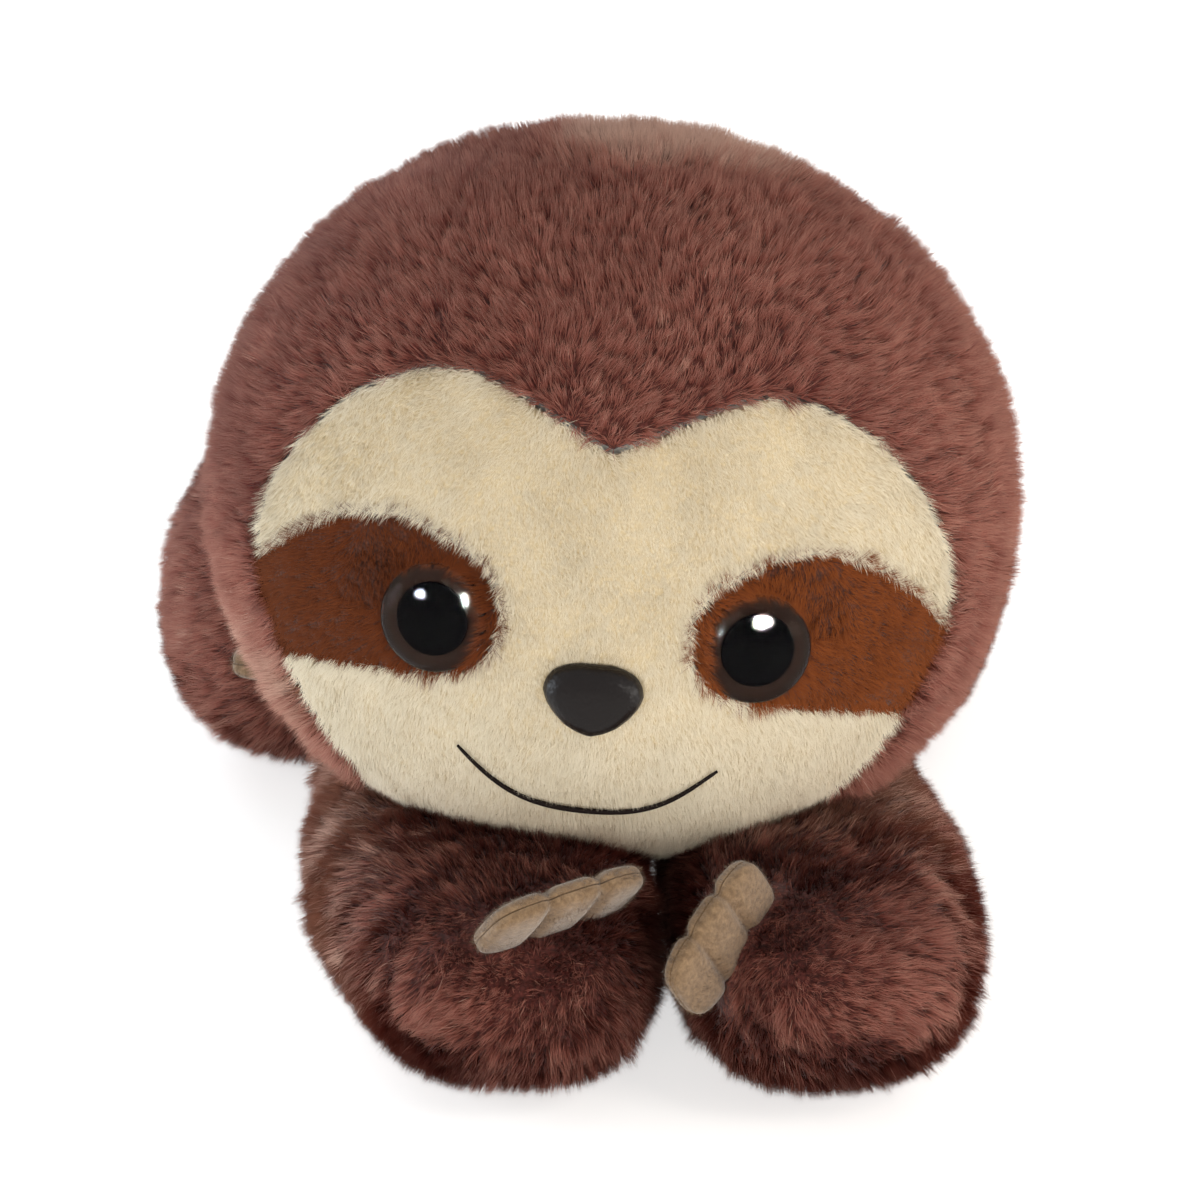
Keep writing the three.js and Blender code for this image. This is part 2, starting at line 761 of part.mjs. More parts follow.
// Claws: three felt fingers side by side and the web between them, in an upper and a lower layer
function mittFrame(limb, { placeShares, across, along }) {
  const centre = paw(limb.shape);
  const half = [limb.shape.halfWidth, limb.shape.halfWidth, limb.shape.halfHeight];
  const tips = new THREE.Vector3(...placeShares.map((share, i) => share * half[i])).add(centre);
  const unturn = new THREE.Matrix4().makeRotationZ(-limb.group.rotation.z);
  const y = new THREE.Vector3(...along).normalize();
  const x = new THREE.Vector3(...across);
  x.addScaledVector(y, -x.dot(y)).normalize();
  if (limb.shape === arm) {
    x.applyMatrix4(unturn);
    y.applyMatrix4(unturn);
  }
  const z = new THREE.Vector3().crossVectors(x, y);
  return new THREE.Matrix4().makeBasis(x, y, z).setPosition(tips);
}

function claws(limb, mitt) {
  const clawRadius = clawWidth / 2;
  const frame = mittFrame(limb, mitt);
  const flatten = new THREE.Matrix4().makeScale(1, 1, clawThickness / clawWidth);
  const along = -(clawLength / 2) + clawRadius / 2;
  const web = new THREE.Vector3(
    ((clawCount - 1) * clawPitch + clawWidth) / 2 - webSetback,
    clawLength / 2 - webSetback,
    clawThickness / 2 - webThinning,
  );
  const webForm = roundForm({
    half: () => web,
    squarenessAt: () => webSquareness,
    detail: innerDetail.head,
    centre: new THREE.Vector3(0, along, 0),
  });
  const fingers = [];
  for (let i = 0; i < clawCount; i += 1) {
    const straight = clawLength - clawWidth;
    const geometry = new THREE.CapsuleGeometry(clawRadius, straight, stepCount.clawCap, sideCount.claw);
    geometry.translate((i - (clawCount - 1) / 2) * clawPitch, along, 0);
    fingers.push(solidOf(geometry, flatten));
  }
  const mittSolid = joined([...fingers, solidOf(webForm)]);
  const upper = mittSolid.intersect(above(clawSeam / 2)).transform(frame.elements);
  const lower = mittSolid.subtract(above(-clawSeam / 2)).transform(frame.elements);
  return { upper, lower };
}

// The opening that each cover is filled through, which faces the middle of the torso at half swing
function fillOpening({ shape, at, yaw, side }) {
  const half = shape.rootRadius / 4;
  const towards = Math.atan2(at[0], -at[1]) - radians(yaw) - (side * radians(shape.swing)) / 2;
  const low = new THREE.Vector3(-half, 0, -half);
  const high = new THREE.Vector3(half, 2 * shape.rootRadius, half);
  return block(low, high).transform(new THREE.Matrix4().makeRotationZ(towards).elements);
}

for (const limb of limbs) {
  const { name, group, shape } = limb;
  const outer = limbSolid(limb, 0, outerDetail);
  const inner = limbSolid(limb, coverWall, innerDetail);
  piece(group, `${name}_cover`, largest(outer.subtract(inner).subtract(fillOpening(limb))), brownPile);
  piece(group, `${name}_stuffing`, limbSolid(limb, coverWall + fillGap, innerDetail), fibreFill);
  const seat = solidOf(limbForm(limb, -seamGap, outerDetail.limb)).add(
    torsoPast(limb, restGap, outerDetail.cutter),
  );
  const { upper, lower } = claws(limb, mitts[name]);
  piece(group, `${name}_claws_upper`, largest(upper.subtract(seat)), tanFelt);
  piece(group, `${name}_claws_lower`, largest(lower.subtract(seat)), tanFelt);
}

export default root;
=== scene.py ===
import json
import math

import bmesh
import bpy
import numpy as np
from bpy.props import FloatProperty, FloatVectorProperty, IntProperty, PointerProperty
from mathutils import Matrix, Vector
from mathutils.bvhtree import BVHTree
from mathutils.kdtree import KDTree


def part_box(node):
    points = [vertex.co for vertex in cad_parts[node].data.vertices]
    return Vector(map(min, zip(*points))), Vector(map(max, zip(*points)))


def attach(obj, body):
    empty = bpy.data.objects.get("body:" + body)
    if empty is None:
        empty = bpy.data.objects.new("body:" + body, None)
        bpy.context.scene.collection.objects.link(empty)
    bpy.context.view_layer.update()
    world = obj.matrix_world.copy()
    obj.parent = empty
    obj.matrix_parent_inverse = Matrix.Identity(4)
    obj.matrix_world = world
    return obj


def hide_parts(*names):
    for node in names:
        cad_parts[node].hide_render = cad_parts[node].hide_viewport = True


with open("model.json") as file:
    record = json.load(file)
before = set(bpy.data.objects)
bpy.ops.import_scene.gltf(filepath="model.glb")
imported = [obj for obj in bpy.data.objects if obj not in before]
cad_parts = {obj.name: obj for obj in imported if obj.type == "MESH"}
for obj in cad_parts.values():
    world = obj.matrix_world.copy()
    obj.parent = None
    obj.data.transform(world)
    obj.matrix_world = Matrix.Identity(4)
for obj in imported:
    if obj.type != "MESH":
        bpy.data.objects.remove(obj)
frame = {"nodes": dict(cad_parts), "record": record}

bl_info = {
    "name": "Plush sloth",
    "version": (1, 0, 0),
    "blender": (4, 5, 0),
    "location": "3D View > Sidebar > Plush sloth",
    "description": "Covers, pile, face and claws of a lying plush sloth, built on its packed frame",
    "category": "Object",
}

MM = 0.001
BAKE_MAP = "OFBake"

# The photograph's frame
IMAGE_PX = 1200
FACE_PX_PER_MM = 6.06
HEAD_PX = (612.0, 494.5)
CAMERA_ELEVATION = 20
CAMERA_MM = 800
SENSOR_MM = 36

# The head's middle in metres, which the photograph shows at HEAD_PX
HEAD_PLACE = (0, -0.100, 0.083)

# The floor's half size in metres
FLOOR_HALF = 3.0

# How strongly floor and surround shine, as light and as seen
FLOOR_LEVELS = {"To Min": 0.16, "To Max": 0.65}
SURROUND_LEVELS = {"To Min": 0.3, "To Max": 1.0}

# Lamp tints, linear
WARM_LAMP = (1.0, 0.96, 0.9)
COOL_LAMP = (0.8, 0.9, 1.0)

# Each lamp's name, place and size in metres, power in watts and tint
LAMPS = (
    ("front", (-0.1, -1.2, 0.18), (1.2, 0.3), 7.2, WARM_LAMP),
    ("key", (0.75, -0.75, 0.75), (0.34, 0.34), 2.6, WARM_LAMP),
    ("left", (-1.15, -0.1, 0.3), (0.6, 0.6), 6.5, COOL_LAMP),
    ("right", (1.1, -0.35, 0.25), (0.6, 0.4), 4.0, WARM_LAMP),
    ("rim_left", (-0.7, 0.9, 0.6), (0.6, 0.6), 6.0, COOL_LAMP),
    ("rim_right", (0.7, 0.9, 0.6), (0.6, 0.6), 4.5, WARM_LAMP),
    ("catch_high", (0.52, -0.97, 0.62), (0.45, 0.45), 2500.0, WARM_LAMP),
    ("catch_side", (-0.78, -0.82, 0.5), (0.24, 0.24), 350.0, COOL_LAMP),
)

# A fibre from its foot to its tip: how far up its foot's painted shade reaches, and how much painted sheen
# pales its tip
SHADED_FOOT_SHARE = 0.45
TIP_SHEEN_SHARE = 0.3

# Tufts of pile
TUFT = 3
TUFT_SPREAD = 0.22 * MM
PIECE_TRIANGLES = 190000
FLOOR_CLEAR = 0.35 * MM
EYE_CLEAR = 0.15 * MM
SKIN_GAP = 0.3 * MM
SEAM_WALL = 0.33 * MM
SEAM_EDGE = 1.6 * MM
SEAM_REACH = 6 * MM
EYE_EDGE = 2.5 * MM
FLATTEST_LEAN = 1.4

nodes = frame["nodes"]
BODIES = frame["record"]["behaviour"]["bodies"]


def linear(code):
    """An sRGB hex value, such as 0x8A5A44, as a linear colour."""
    shares = [((code >> shift) & 255) / 255 for shift in (16, 8, 0)]
    return tuple(s / 12.92 if s <= 0.04045 else ((s + 0.055) / 1.055) ** 2.4 for s in shares)


def length(name, description, millimetres):
    return FloatProperty(
        name=name, description=description, default=millimetres * MM, min=0, unit="LENGTH", subtype="DISTANCE"
    )


def share(name, description, default):
    return FloatProperty(name=name, description=description, default=default, min=0, max=1, subtype="FACTOR")


def angle(name, description, degrees):
    return FloatProperty(name=name, description=description, default=math.radians(degrees), subtype="ANGLE")


def colour(name, description, code):
    return FloatVectorProperty(
        name=name, description=description, default=linear(code), size=3, min=0, max=1, subtype="COLOR"
    )


def per_area(name, description, default):
    return FloatProperty(name=name, description=description, default=default, min=0)


class SlothPile(bpy.types.PropertyGroup):
    """One kind of pile: how long and how thick its fibres stand, and how they lie."""

    fibre: length("Fibre length", "Length of a fibre from knit to tip", 4.3)
    width: length("Fibre width", "Width at the root of the few fibres that one strand stands for", 0.12)
    density: per_area("Strands per mm2", "Strands on a square millimetre of knit", 13)
    root_lean: angle("Lean at the root", "Lean away from upright at the knit", 14)
    tip_lean: angle("Lean at the tip", "Lean away from upright at the tip", 54)
    swirl: share("Swirl", "How far the nap turns away from its brushed direction", 0.5)
    stray: share("Stray", "How far single strands point away from their neighbours", 0.4)
    clump: share("Clumping", "How far tips gather into locks", 0.5)
    lock: length("Lock size", "Distance between neighbouring locks", 1.7)
    mottle: share("Mottle", "How far the tone changes over the cloth", 0.22)


class SlothSizes(bpy.types.PropertyGroup):
    """Sizes that a maker would change."""

    brown: PointerProperty(type=SlothPile, name="Brown pile", description="Long pile of body and head")
    cream: PointerProperty(type=SlothPile, name="Cream pile", description="Short pile of the face")
    patch: PointerProperty(type=SlothPile, name="Patch pile", description="Short pile of the eye patches")
    nap: PointerProperty(type=SlothPile, name="Felt nap", description="Loose fibre on the felt claws")
    knit_step: length("Knit mesh step", "Mesh step of the sewn covers", 1.3)
    felt_lift: length("Claw lift", "How far the felt claws stand off the paw on their stitches", 1.2)
    neck_radius: length("Neck radius", "Outer radius of the knit over the neck's ball of stuffing", 30.15)
    nose_step: length("Nose mesh step", "Mesh step of the moulded nose", 0.3)
    pupil_height: length("Pupil height", "Middle of the pupil above the eye's seat", 2.0)
    eye_radius: length("Eye radius", "Outer radius of the safety eye", 8.6)
    pupil_radius: length("Pupil radius", "Radius of the black pupil", 5.75)
    plate: length("Eye plate", "Thickness of the eye's coloured plate", 1.4)
    shank_radius: length("Shank radius", "Radius of the eye's shank", 2)
    shank_length: length("Shank length", "Length of the eye's shank under its seat", 12)
    dome_low: length("Dome foot", "Foot of the clear dome above the seat", 1.7)
    dome_top: length("Dome top", "Top of the clear dome above the seat", 6.3)
    dome_hollow: length("Dome hollow", "Top of the hollow over the pupil above the seat", 2.6)
    thread_radius: length("Thread radius", "Radius of the mouth's thread", 0.42)


class SlothColours(bpy.types.PropertyGroup):
    """Colours of the cloths, plastics and threads."""

    # Each pile's root colour is painted shade at the foot of its fibres
    brown_root: colour("Brown root", "Shaded foot of the brown pile", 0x351914)
    brown_dark: colour("Brown dark", "Darker locks of the brown pile", 0x69332D)
    brown_light: colour("Brown light", "Lighter locks of the brown pile", 0xA06154)
    # The palest tone. It paints the crown's edge, which is partly paler fur and partly painted rim light, the
    # painted light on the head's sides and the arms, and the painted sheen at each fibre's tip.
    brown_tan: colour("Brown tan", "Palest locks, at the crown and the sides of the arms", 0xD0A895)
    cream_root: colour("Cream root", "Foot of the cream pile", 0xCAB791)
    cream_dark: colour("Cream dark", "Darker cream fibres", 0xD8C8A9)
    cream_light: colour("Cream light", "Lighter cream fibres", 0xF0E6CF)
    patch_root: colour("Patch root", "Foot of the patch pile", 0x2E1509)
    patch_dark: colour("Patch dark", "Darker patch fibres", 0x5E2D14)
    patch_light: colour("Patch light", "Lighter patch fibres", 0x8C4A22)
    felt: colour("Felt", "Felt of the claws", 0x68513B)
    felt_light: colour("Felt nap", "Loose fibre on the felt", 0x9E8262)
    iris: colour("Iris", "Painted iris", 0x1F0F06)
    iris_rim: colour("Iris rim", "Dark rim of the iris", 0x0C0603)
    nose: colour("Nose", "Moulded nose", 0x15100F)
    thread: colour("Thread", "Mouth thread", 0x120A08)


class SlothSettings(bpy.types.PropertyGroup):
    """Sizes, colours and the seed of the random draws."""

    sizes: PointerProperty(type=SlothSizes)
    colours: PointerProperty(type=SlothColours)
    seed: IntProperty(name="Seed", description="Seed of every random draw", default=17)


def settings():
    return bpy.context.scene.plush_sloth


# Nodes and materials
def add(tree, kind, values=None, links=None, stops=(), **options):
    """Adds a shader node with its options, its sockets' values, what is linked into it and a ramp's stops."""
    made = tree.nodes.new("ShaderNode" + kind)
    for name, value in options.items():
        setattr(made, name, value)
    for name, value in (values or {}).items():
        socket = made.inputs[name]
        if getattr(socket, "type", "") == "RGBA" and len(value) == 3:
            value = (*value, 1)
        socket.default_value = value
    for name, output in (links or {}).items():
        tree.links.new(output, made.inputs[name])
    for place, tone in stops[1:-1]:
        made.color_ramp.elements.new(place)
    for i, (place, tone) in enumerate(stops):
        made.color_ramp.elements[i].position = place
        made.color_ramp.elements[i].color = (*tone, 1)
    return made


def new_material(name):
    made = bpy.data.materials.new(name)
    made.use_nodes = True
    made.node_tree.nodes.clear()
    return made


def finish_material(made, shader):
    add(made.node_tree, "OutputMaterial", links={"Surface": shader.outputs[0]})
    return made


def pile_material(name, root, dark, light, tan, roughness, sheen):
    """Brushed polyester pile. A fibre is dark at its foot, a painted shade where light hardly reaches, and
    pale at its tip, a painted sheen. The map's first axis is the fibre's tone with the painted light of its
    place, and its second runs from foot to tip."""
    made = new_material(name)
    tree = made.node_tree
    place = add(tree, "UVMap", uv_map=BAKE_MAP)
    axes = add(tree, "SeparateXYZ", links={"Vector": place.outputs["UV"]})
    tones = [(0, dark), (0.55, light), (1, tan)]
    shade = add(tree, "ValToRGB", links={"Fac": axes.outputs["X"]}, stops=tones)
    foot = add(tree, "MapRange", values={"From Max": SHADED_FOOT_SHARE}, links={"Value": axes.outputs["Y"]})
    body = add(
        tree,
        "Mix",
        data_type="RGBA",
        values={6: root},
        links={"Factor": foot.outputs["Result"], 7: shade.outputs["Color"]},
    )
    tip = add(
        tree,
        "MapRange",
        values={"From Min": SHADED_FOOT_SHARE, "From Max": 0.95, "To Max": TIP_SHEEN_SHARE},
        links={"Value": axes.outputs["Y"]},
    )
    whole = add(
        tree,
        "Mix",
        data_type="RGBA",
        values={7: tan},
        links={"Factor": tip.outputs["Result"], 6: body.outputs[2]},
    )
    skin = add(
        tree,
        "BsdfPrincipled",
        values={
            "Roughness": roughness,
            "Sheen Weight": sheen,
            "Sheen Roughness": 0.5,
            "Specular IOR Level": 0.12,
        },
        links={"Base Color": whole.outputs[2]},
    )
    return finish_material(made, skin)


def knit_material(name, low, high, loop_mm):
    """Warp-knit backing cloth. Rows of small loops give it a fine ribbed grain under the pile."""
    made = new_material(name)
    tree = made.node_tree
    place = add(tree, "TexCoord")
    loops = add(
        tree,
        "TexVoronoi",
        values={"Scale": 1 / (loop_mm * MM), "Randomness": 0.6},
        links={"Vector": place.outputs["Object"]},
    ).outputs["Distance"]
    shade = add(tree, "ValToRGB", links={"Fac": loops}, stops=[(0, high), (0.8, low)])
    bump = add(tree, "Bump", values={"Strength": 0.5, "Distance": 0.2 * MM}, links={"Height": loops})
    skin = add(
        tree,
        "BsdfPrincipled",
        values={"Roughness": 0.95, "Sheen Weight": 0.2},
        links={"Base Color": shade.outputs["Color"], "Normal": bump.outputs["Normal"]},
    )
    return finish_material(made, skin)


def felt_material(name, low, high):
    """Wool felt, pressed and not woven. Matted fibres give it a mottled, matt, slightly furry face."""
    made = new_material(name)
    tree = made.node_tree
    place = add(tree, "TexCoord")
    matting = add(
        tree,
        "TexNoise",
        values={"Scale": 1 / (0.9 * MM), "Detail": 6.0, "Roughness": 0.7},
        links={"Vector": place.outputs["Object"]},
    ).outputs["Fac"]
    shade = add(tree, "ValToRGB", links={"Fac": matting}, stops=[(0.3, low), (0.7, high)])
    bump = add(tree, "Bump", values={"Strength": 0.6, "Distance": 0.25 * MM}, links={"Height": matting})
    skin = add(
        tree,
        "BsdfPrincipled",
        values={"Roughness": 0.95, "Sheen Weight": 0.4, "Sheen Roughness": 0.5},
        links={"Base Color": shade.outputs["Color"], "Normal": bump.outputs["Normal"]},
    )
    return finish_material(made, skin)


def acrylic_material():
    """Cast clear acrylic, polished. It mirrors the lamps as small hard lights over the black pupil. Its IOR
    is set under acrylic's 1.49, so that the white surround greys the pupil no more than the real room did."""
    made = new_material("acrylic_clear_polished")
    skin = add(
        made.node_tree,
        "BsdfPrincipled",
        values={"Base Color": (1, 1, 1), "Roughness": 0.0, "IOR": 1.08, "Transmission Weight": 1.0},
    )
    return finish_material(made, skin)


def iris_material(middle, rim):
    """Gloss paint on moulded ABS. The iris is warm brown near the pupil and darkens to its rim."""
    made = new_material("gloss_paint_iris_brown")
    tree = made.node_tree
    place = add(tree, "UVMap", uv_map=BAKE_MAP)
    axes = add(tree, "SeparateXYZ", links={"Vector": place.outputs["UV"]})
    rings = [(0, rim), (0.62, middle), (0.86, middle), (1, rim)]
    shade = add(tree, "ValToRGB", links={"Fac": axes.outputs["Y"]}, stops=rings)
    skin = add(
        tree,
        "BsdfPrincipled",
        values={"Roughness": 0.6, "Specular IOR Level": 0.1},
        links={"Base Color": shade.outputs["Color"]},
    )
    return finish_material(made, skin)


def plain_plastic(name, tone, roughness, grain_mm=0.0, depth_mm=0.0, gloss=0.5):
    """Moulded plastic. A grain size gives it the fine pebbled face of a textured mould."""
    made = new_material(name)
    tree = made.node_tree
    finish = {"Base Color": tone, "Roughness": roughness, "Specular IOR Level": gloss}
    skin = add(tree, "BsdfPrincipled", values=finish)
    if grain_mm:
        place = add(tree, "TexCoord")
        pebble = add(
            tree,
            "TexVoronoi",
            values={"Scale": 1 / (grain_mm * MM)},
            links={"Vector": place.outputs["Object"]},
            feature="SMOOTH_F1",
        )
        bump = add(
            tree,
            "Bump",
            values={"Strength": 0.7, "Distance": depth_mm * MM},
            links={"Height": pebble.outputs["Distance"]},
            invert=True,
        )
        tree.links.new(bump.outputs["Normal"], skin.inputs["Normal"])
    return finish_material(made, skin)


def thread_material(name, tone):
    """Twisted polyester thread. Its plies catch the light as short slanting lines."""
    made = new_material(name)
    tree = made.node_tree
    place = add(tree, "TexCoord")
    plies = add(
        tree,
        "TexNoise",
        values={"Scale": 1 / (0.35 * MM), "Detail": 3.0},
        links={"Vector": place.outputs["Object"]},
    )
    lighter = tuple(min(1, part * 1.7) for part in tone)
    shade = add(tree, "ValToRGB", links={"Fac": plies.outputs["Fac"]}, stops=[(0.35, tone), (0.75, lighter)])
    skin = add(
        tree,
        "BsdfPrincipled",
        values={"Roughness": 0.7, "Specular IOR Level": 0.2},
        links={"Base Color": shade.outputs["Color"]},
    )
    return finish_material(made, skin)


def fibre_fill_material():
    """Loose polyester fibre. Tangled white fibres give it a soft cloudy face."""
    made = new_material("polyester_fibre_fill")
    tree = made.node_tree
    place = add(tree, "TexCoord")
    tangle = add(
        tree,
        "TexNoise",
        values={"Scale": 1 / (3 * MM), "Detail": 8.0},
        links={"Vector": place.outputs["Object"]},
    ).outputs["Fac"]
    tones = [(0.3, linear(0xDCDCD8)), (0.7, linear(0xFAFAF6))]
    shade = add(tree, "ValToRGB", links={"Fac": tangle}, stops=tones)
    bump = add(tree, "Bump", values={"Strength": 0.8, "Distance": 1 * MM}, links={"Height": tangle})
    skin = add(
        tree,
        "BsdfPrincipled",
        values={"Roughness": 1.0},
        links={"Base Color": shade.outputs["Color"], "Normal": bump.outputs["Normal"]},
    )
    return finish_material(made, skin)


def material(name, make, *values):
    """A material that is made once and then shared."""
    return bpy.data.materials.get(name) or make(name, *values)


# Meshes
def link(name, mesh, finish, body, stands_for=()):
    made = bpy.data.objects.new(name, mesh)
    bpy.context.scene.collection.objects.link(made)
    made.data.materials.clear()
    made.data.materials.append(finish)
    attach(made, body)
    if stands_for:
        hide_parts(*stands_for)
    return made


def remeshed(node, step, rounds):
    """A node's solid with its flats and edges eased away, as a fine mesh."""
    shape = bmesh.new()
    shape.from_mesh(nodes[node].data)
    bmesh.ops.remove_doubles(shape, verts=shape.verts, dist=0.001 * MM)
    rough = bpy.data.meshes.new(node + "_rough")
    shape.to_mesh(rough)
    shape.free()
    carrier = bpy.data.objects.new(node + "_carrier", rough)
    bpy.context.scene.collection.objects.link(carrier)
    fine = carrier.modifiers.new("fine", "REMESH")
    fine.mode = "VOXEL"
    fine.voxel_size = step
    ease = carrier.modifiers.new("ease", "SMOOTH")
    ease.factor = 0.5
    ease.iterations = rounds
    view = bpy.context.evaluated_depsgraph_get()
    mesh = bpy.data.meshes.new_from_object(carrier.evaluated_get(view))
    bpy.data.objects.remove(carrier)
    bpy.data.meshes.remove(rough)
    mesh.polygons.foreach_set("use_smooth", np.ones(len(mesh.polygons), bool))
    return mesh


def points_of(mesh):
    flat = np.empty(len(mesh.vertices) * 3, np.float32)
    mesh.vertices.foreach_get("co", flat)
    return flat.reshape(-1, 3).astype(float)


def triangles_of(mesh):
    mesh.calc_loop_triangles()
    flat = np.empty(len(mesh.loop_triangles) * 3, np.int32)
    mesh.loop_triangles.foreach_get("vertices", flat)
    return flat.reshape(-1, 3)


def mesh_of(name, points, loops, counts, uvs=None):
    """A mesh from points, the faces' corners in one row and the number of corners of each face."""
    mesh = bpy.data.meshes.new(name)
    mesh.vertices.add(len(points))
    mesh.vertices.foreach_set("co", np.ascontiguousarray(points, np.float32).ravel())
    mesh.loops.add(len(loops))
    mesh.loops.foreach_set("vertex_index", np.ascontiguousarray(loops, np.int32))
    mesh.polygons.add(len(counts))
    starts = np.concatenate([[0], np.cumsum(counts)[:-1]]).astype(np.int32)
    mesh.polygons.foreach_set("loop_start", starts)
    mesh.polygons.foreach_set("use_smooth", np.ones(len(counts), bool))
    if uvs is not None:
        layer = mesh.uv_layers.new(name=BAKE_MAP)
        layer.uv.foreach_set("vector", np.ascontiguousarray(uvs[loops], np.float32).ravel())
    mesh.update(calc_edges=True)
    mesh.validate()
    return mesh


def unit(rows):
    return rows / np.maximum(np.linalg.norm(rows, axis=-1, keepdims=True), 1e-12)


def waves(points, size, seed, count=7):
    """Smooth noise from -1 to 1, three values a point, whose hills are about one size apart."""
    draw = np.random.default_rng(seed)
    total = np.zeros((len(points), 3))
    for _ in range(count):
        way = unit(draw.normal(size=3)) * (2 * math.pi / size) * draw.uniform(0.6, 1.5)
        phase = draw.uniform(0, 2 * math.pi, 3)
        total += np.sin((points @ way)[:, None] + phase)
    return total / math.sqrt(count)


def search_tree(meshes):
    """A search tree over the surfaces of several meshes."""
    points, faces = [], []
    for mesh in meshes:
        start = len(points)
        points.extend(vertex.co.copy() for vertex in mesh.vertices)
        faces.extend([start + v for v in polygon.vertices] for polygon in mesh.polygons)
    return BVHTree.FromPolygons(points, faces)


def tree_of(names):
    return search_tree([nodes[name].data for name in names])


def skins_of(body):
    return [name for name in BODIES[body] if name.split("_")[-1] in ("cover", "panel", "patch")]


def neighbours(body, extra=()):
    """The surfaces that the pile of a body leaves room for."""
    return tree_of([name for other in BODIES if other != body for name in skins_of(other)] + list(extra))


def distances(tree, points, limit):
    """How far each point lies from a surface, up to a limit."""
    found = (tree.find_nearest(Vector(point), limit)[3] for point in points)
    return np.array([limit if distance is None else distance for distance in found])


def ways_to(tree, points, limit):
    """The way from each point to the nearest place of a surface, or none beyond a limit."""
    found = [tree.find_nearest(Vector(point), limit)[0] for point in points]
    ways = [np.zeros(3) if place is None else place - Vector(point) for place, point in zip(found, points)]
    return unit(np.array(ways))


def over_eyes(points, eyes):
    """Fibres that would run into an eye lie over its dome instead."""
    radius, top = settings().sizes.eye_radius + EYE_CLEAR, settings().sizes.dome_top + EYE_CLEAR
    for place in eyes:
        world, inward = np.array(place), np.array(place.inverted())
        own = points @ inward[:3, :3].T + inward[:3, 3]
        depth = np.linalg.norm(own / np.array([radius, radius, top]), axis=-1, keepdims=True)
        inside = (depth < 1) & (own[..., 2:] > 0)
        own = np.where(inside, own / np.maximum(depth, 0.05), own)
        points = np.where(inside, own @ world[:3, :3].T + world[:3, 3], points)
    return points


def planted(mesh, pile, form, seam, draw):
    """Where tufts of strands stand on the outer side of a cover, and which way is out there."""
    middle, outward = form
    corner = points_of(mesh)[triangles_of(mesh)]
    centre = corner.mean(axis=1)
    across = np.cross(corner[:, 1] - corner[:, 0], corner[:, 2] - corner[:, 0])
    area = np.linalg.norm(across, axis=1) / 2
    facing = across / np.maximum(2 * area, 1e-18)[:, None]
    outer = (facing * unit((centre - middle) @ outward)).sum(axis=1) > 0.3
    if seam is not None:
        outer &= distances(seam, centre, 1 * MM) > SEAM_WALL
    weight = area * outer
    count = int(weight.sum() / MM**2 * pile.density / TUFT)
    face = draw.choice(len(area), count, p=weight / weight.sum())
    a, b = draw.random(count), draw.random(count)
    flip = a + b > 1
    a[flip], b[flip] = 1 - a[flip], 1 - b[flip]
    mix = np.stack([1 - a - b, a, b], axis=1)[..., None]
    base = (corner[face] * mix).sum(axis=1)
    return base, unit(0.4 * facing[face] + 0.6 * unit((base - middle) @ outward))


def lock_heads(base, pile, draw):
    """The tuft that each tuft's tips gather to."""
    area = len(base) * TUFT / pile.density * MM**2
    heads = draw.choice(len(base), max(8, int(area / pile.lock**2)), replace=False)
    search = KDTree(len(heads))
    for i, head in enumerate(heads):
        search.insert(Vector(base[head]), i)
    search.balance()
    return heads[[search.find(Vector(point))[1] for point in base]]


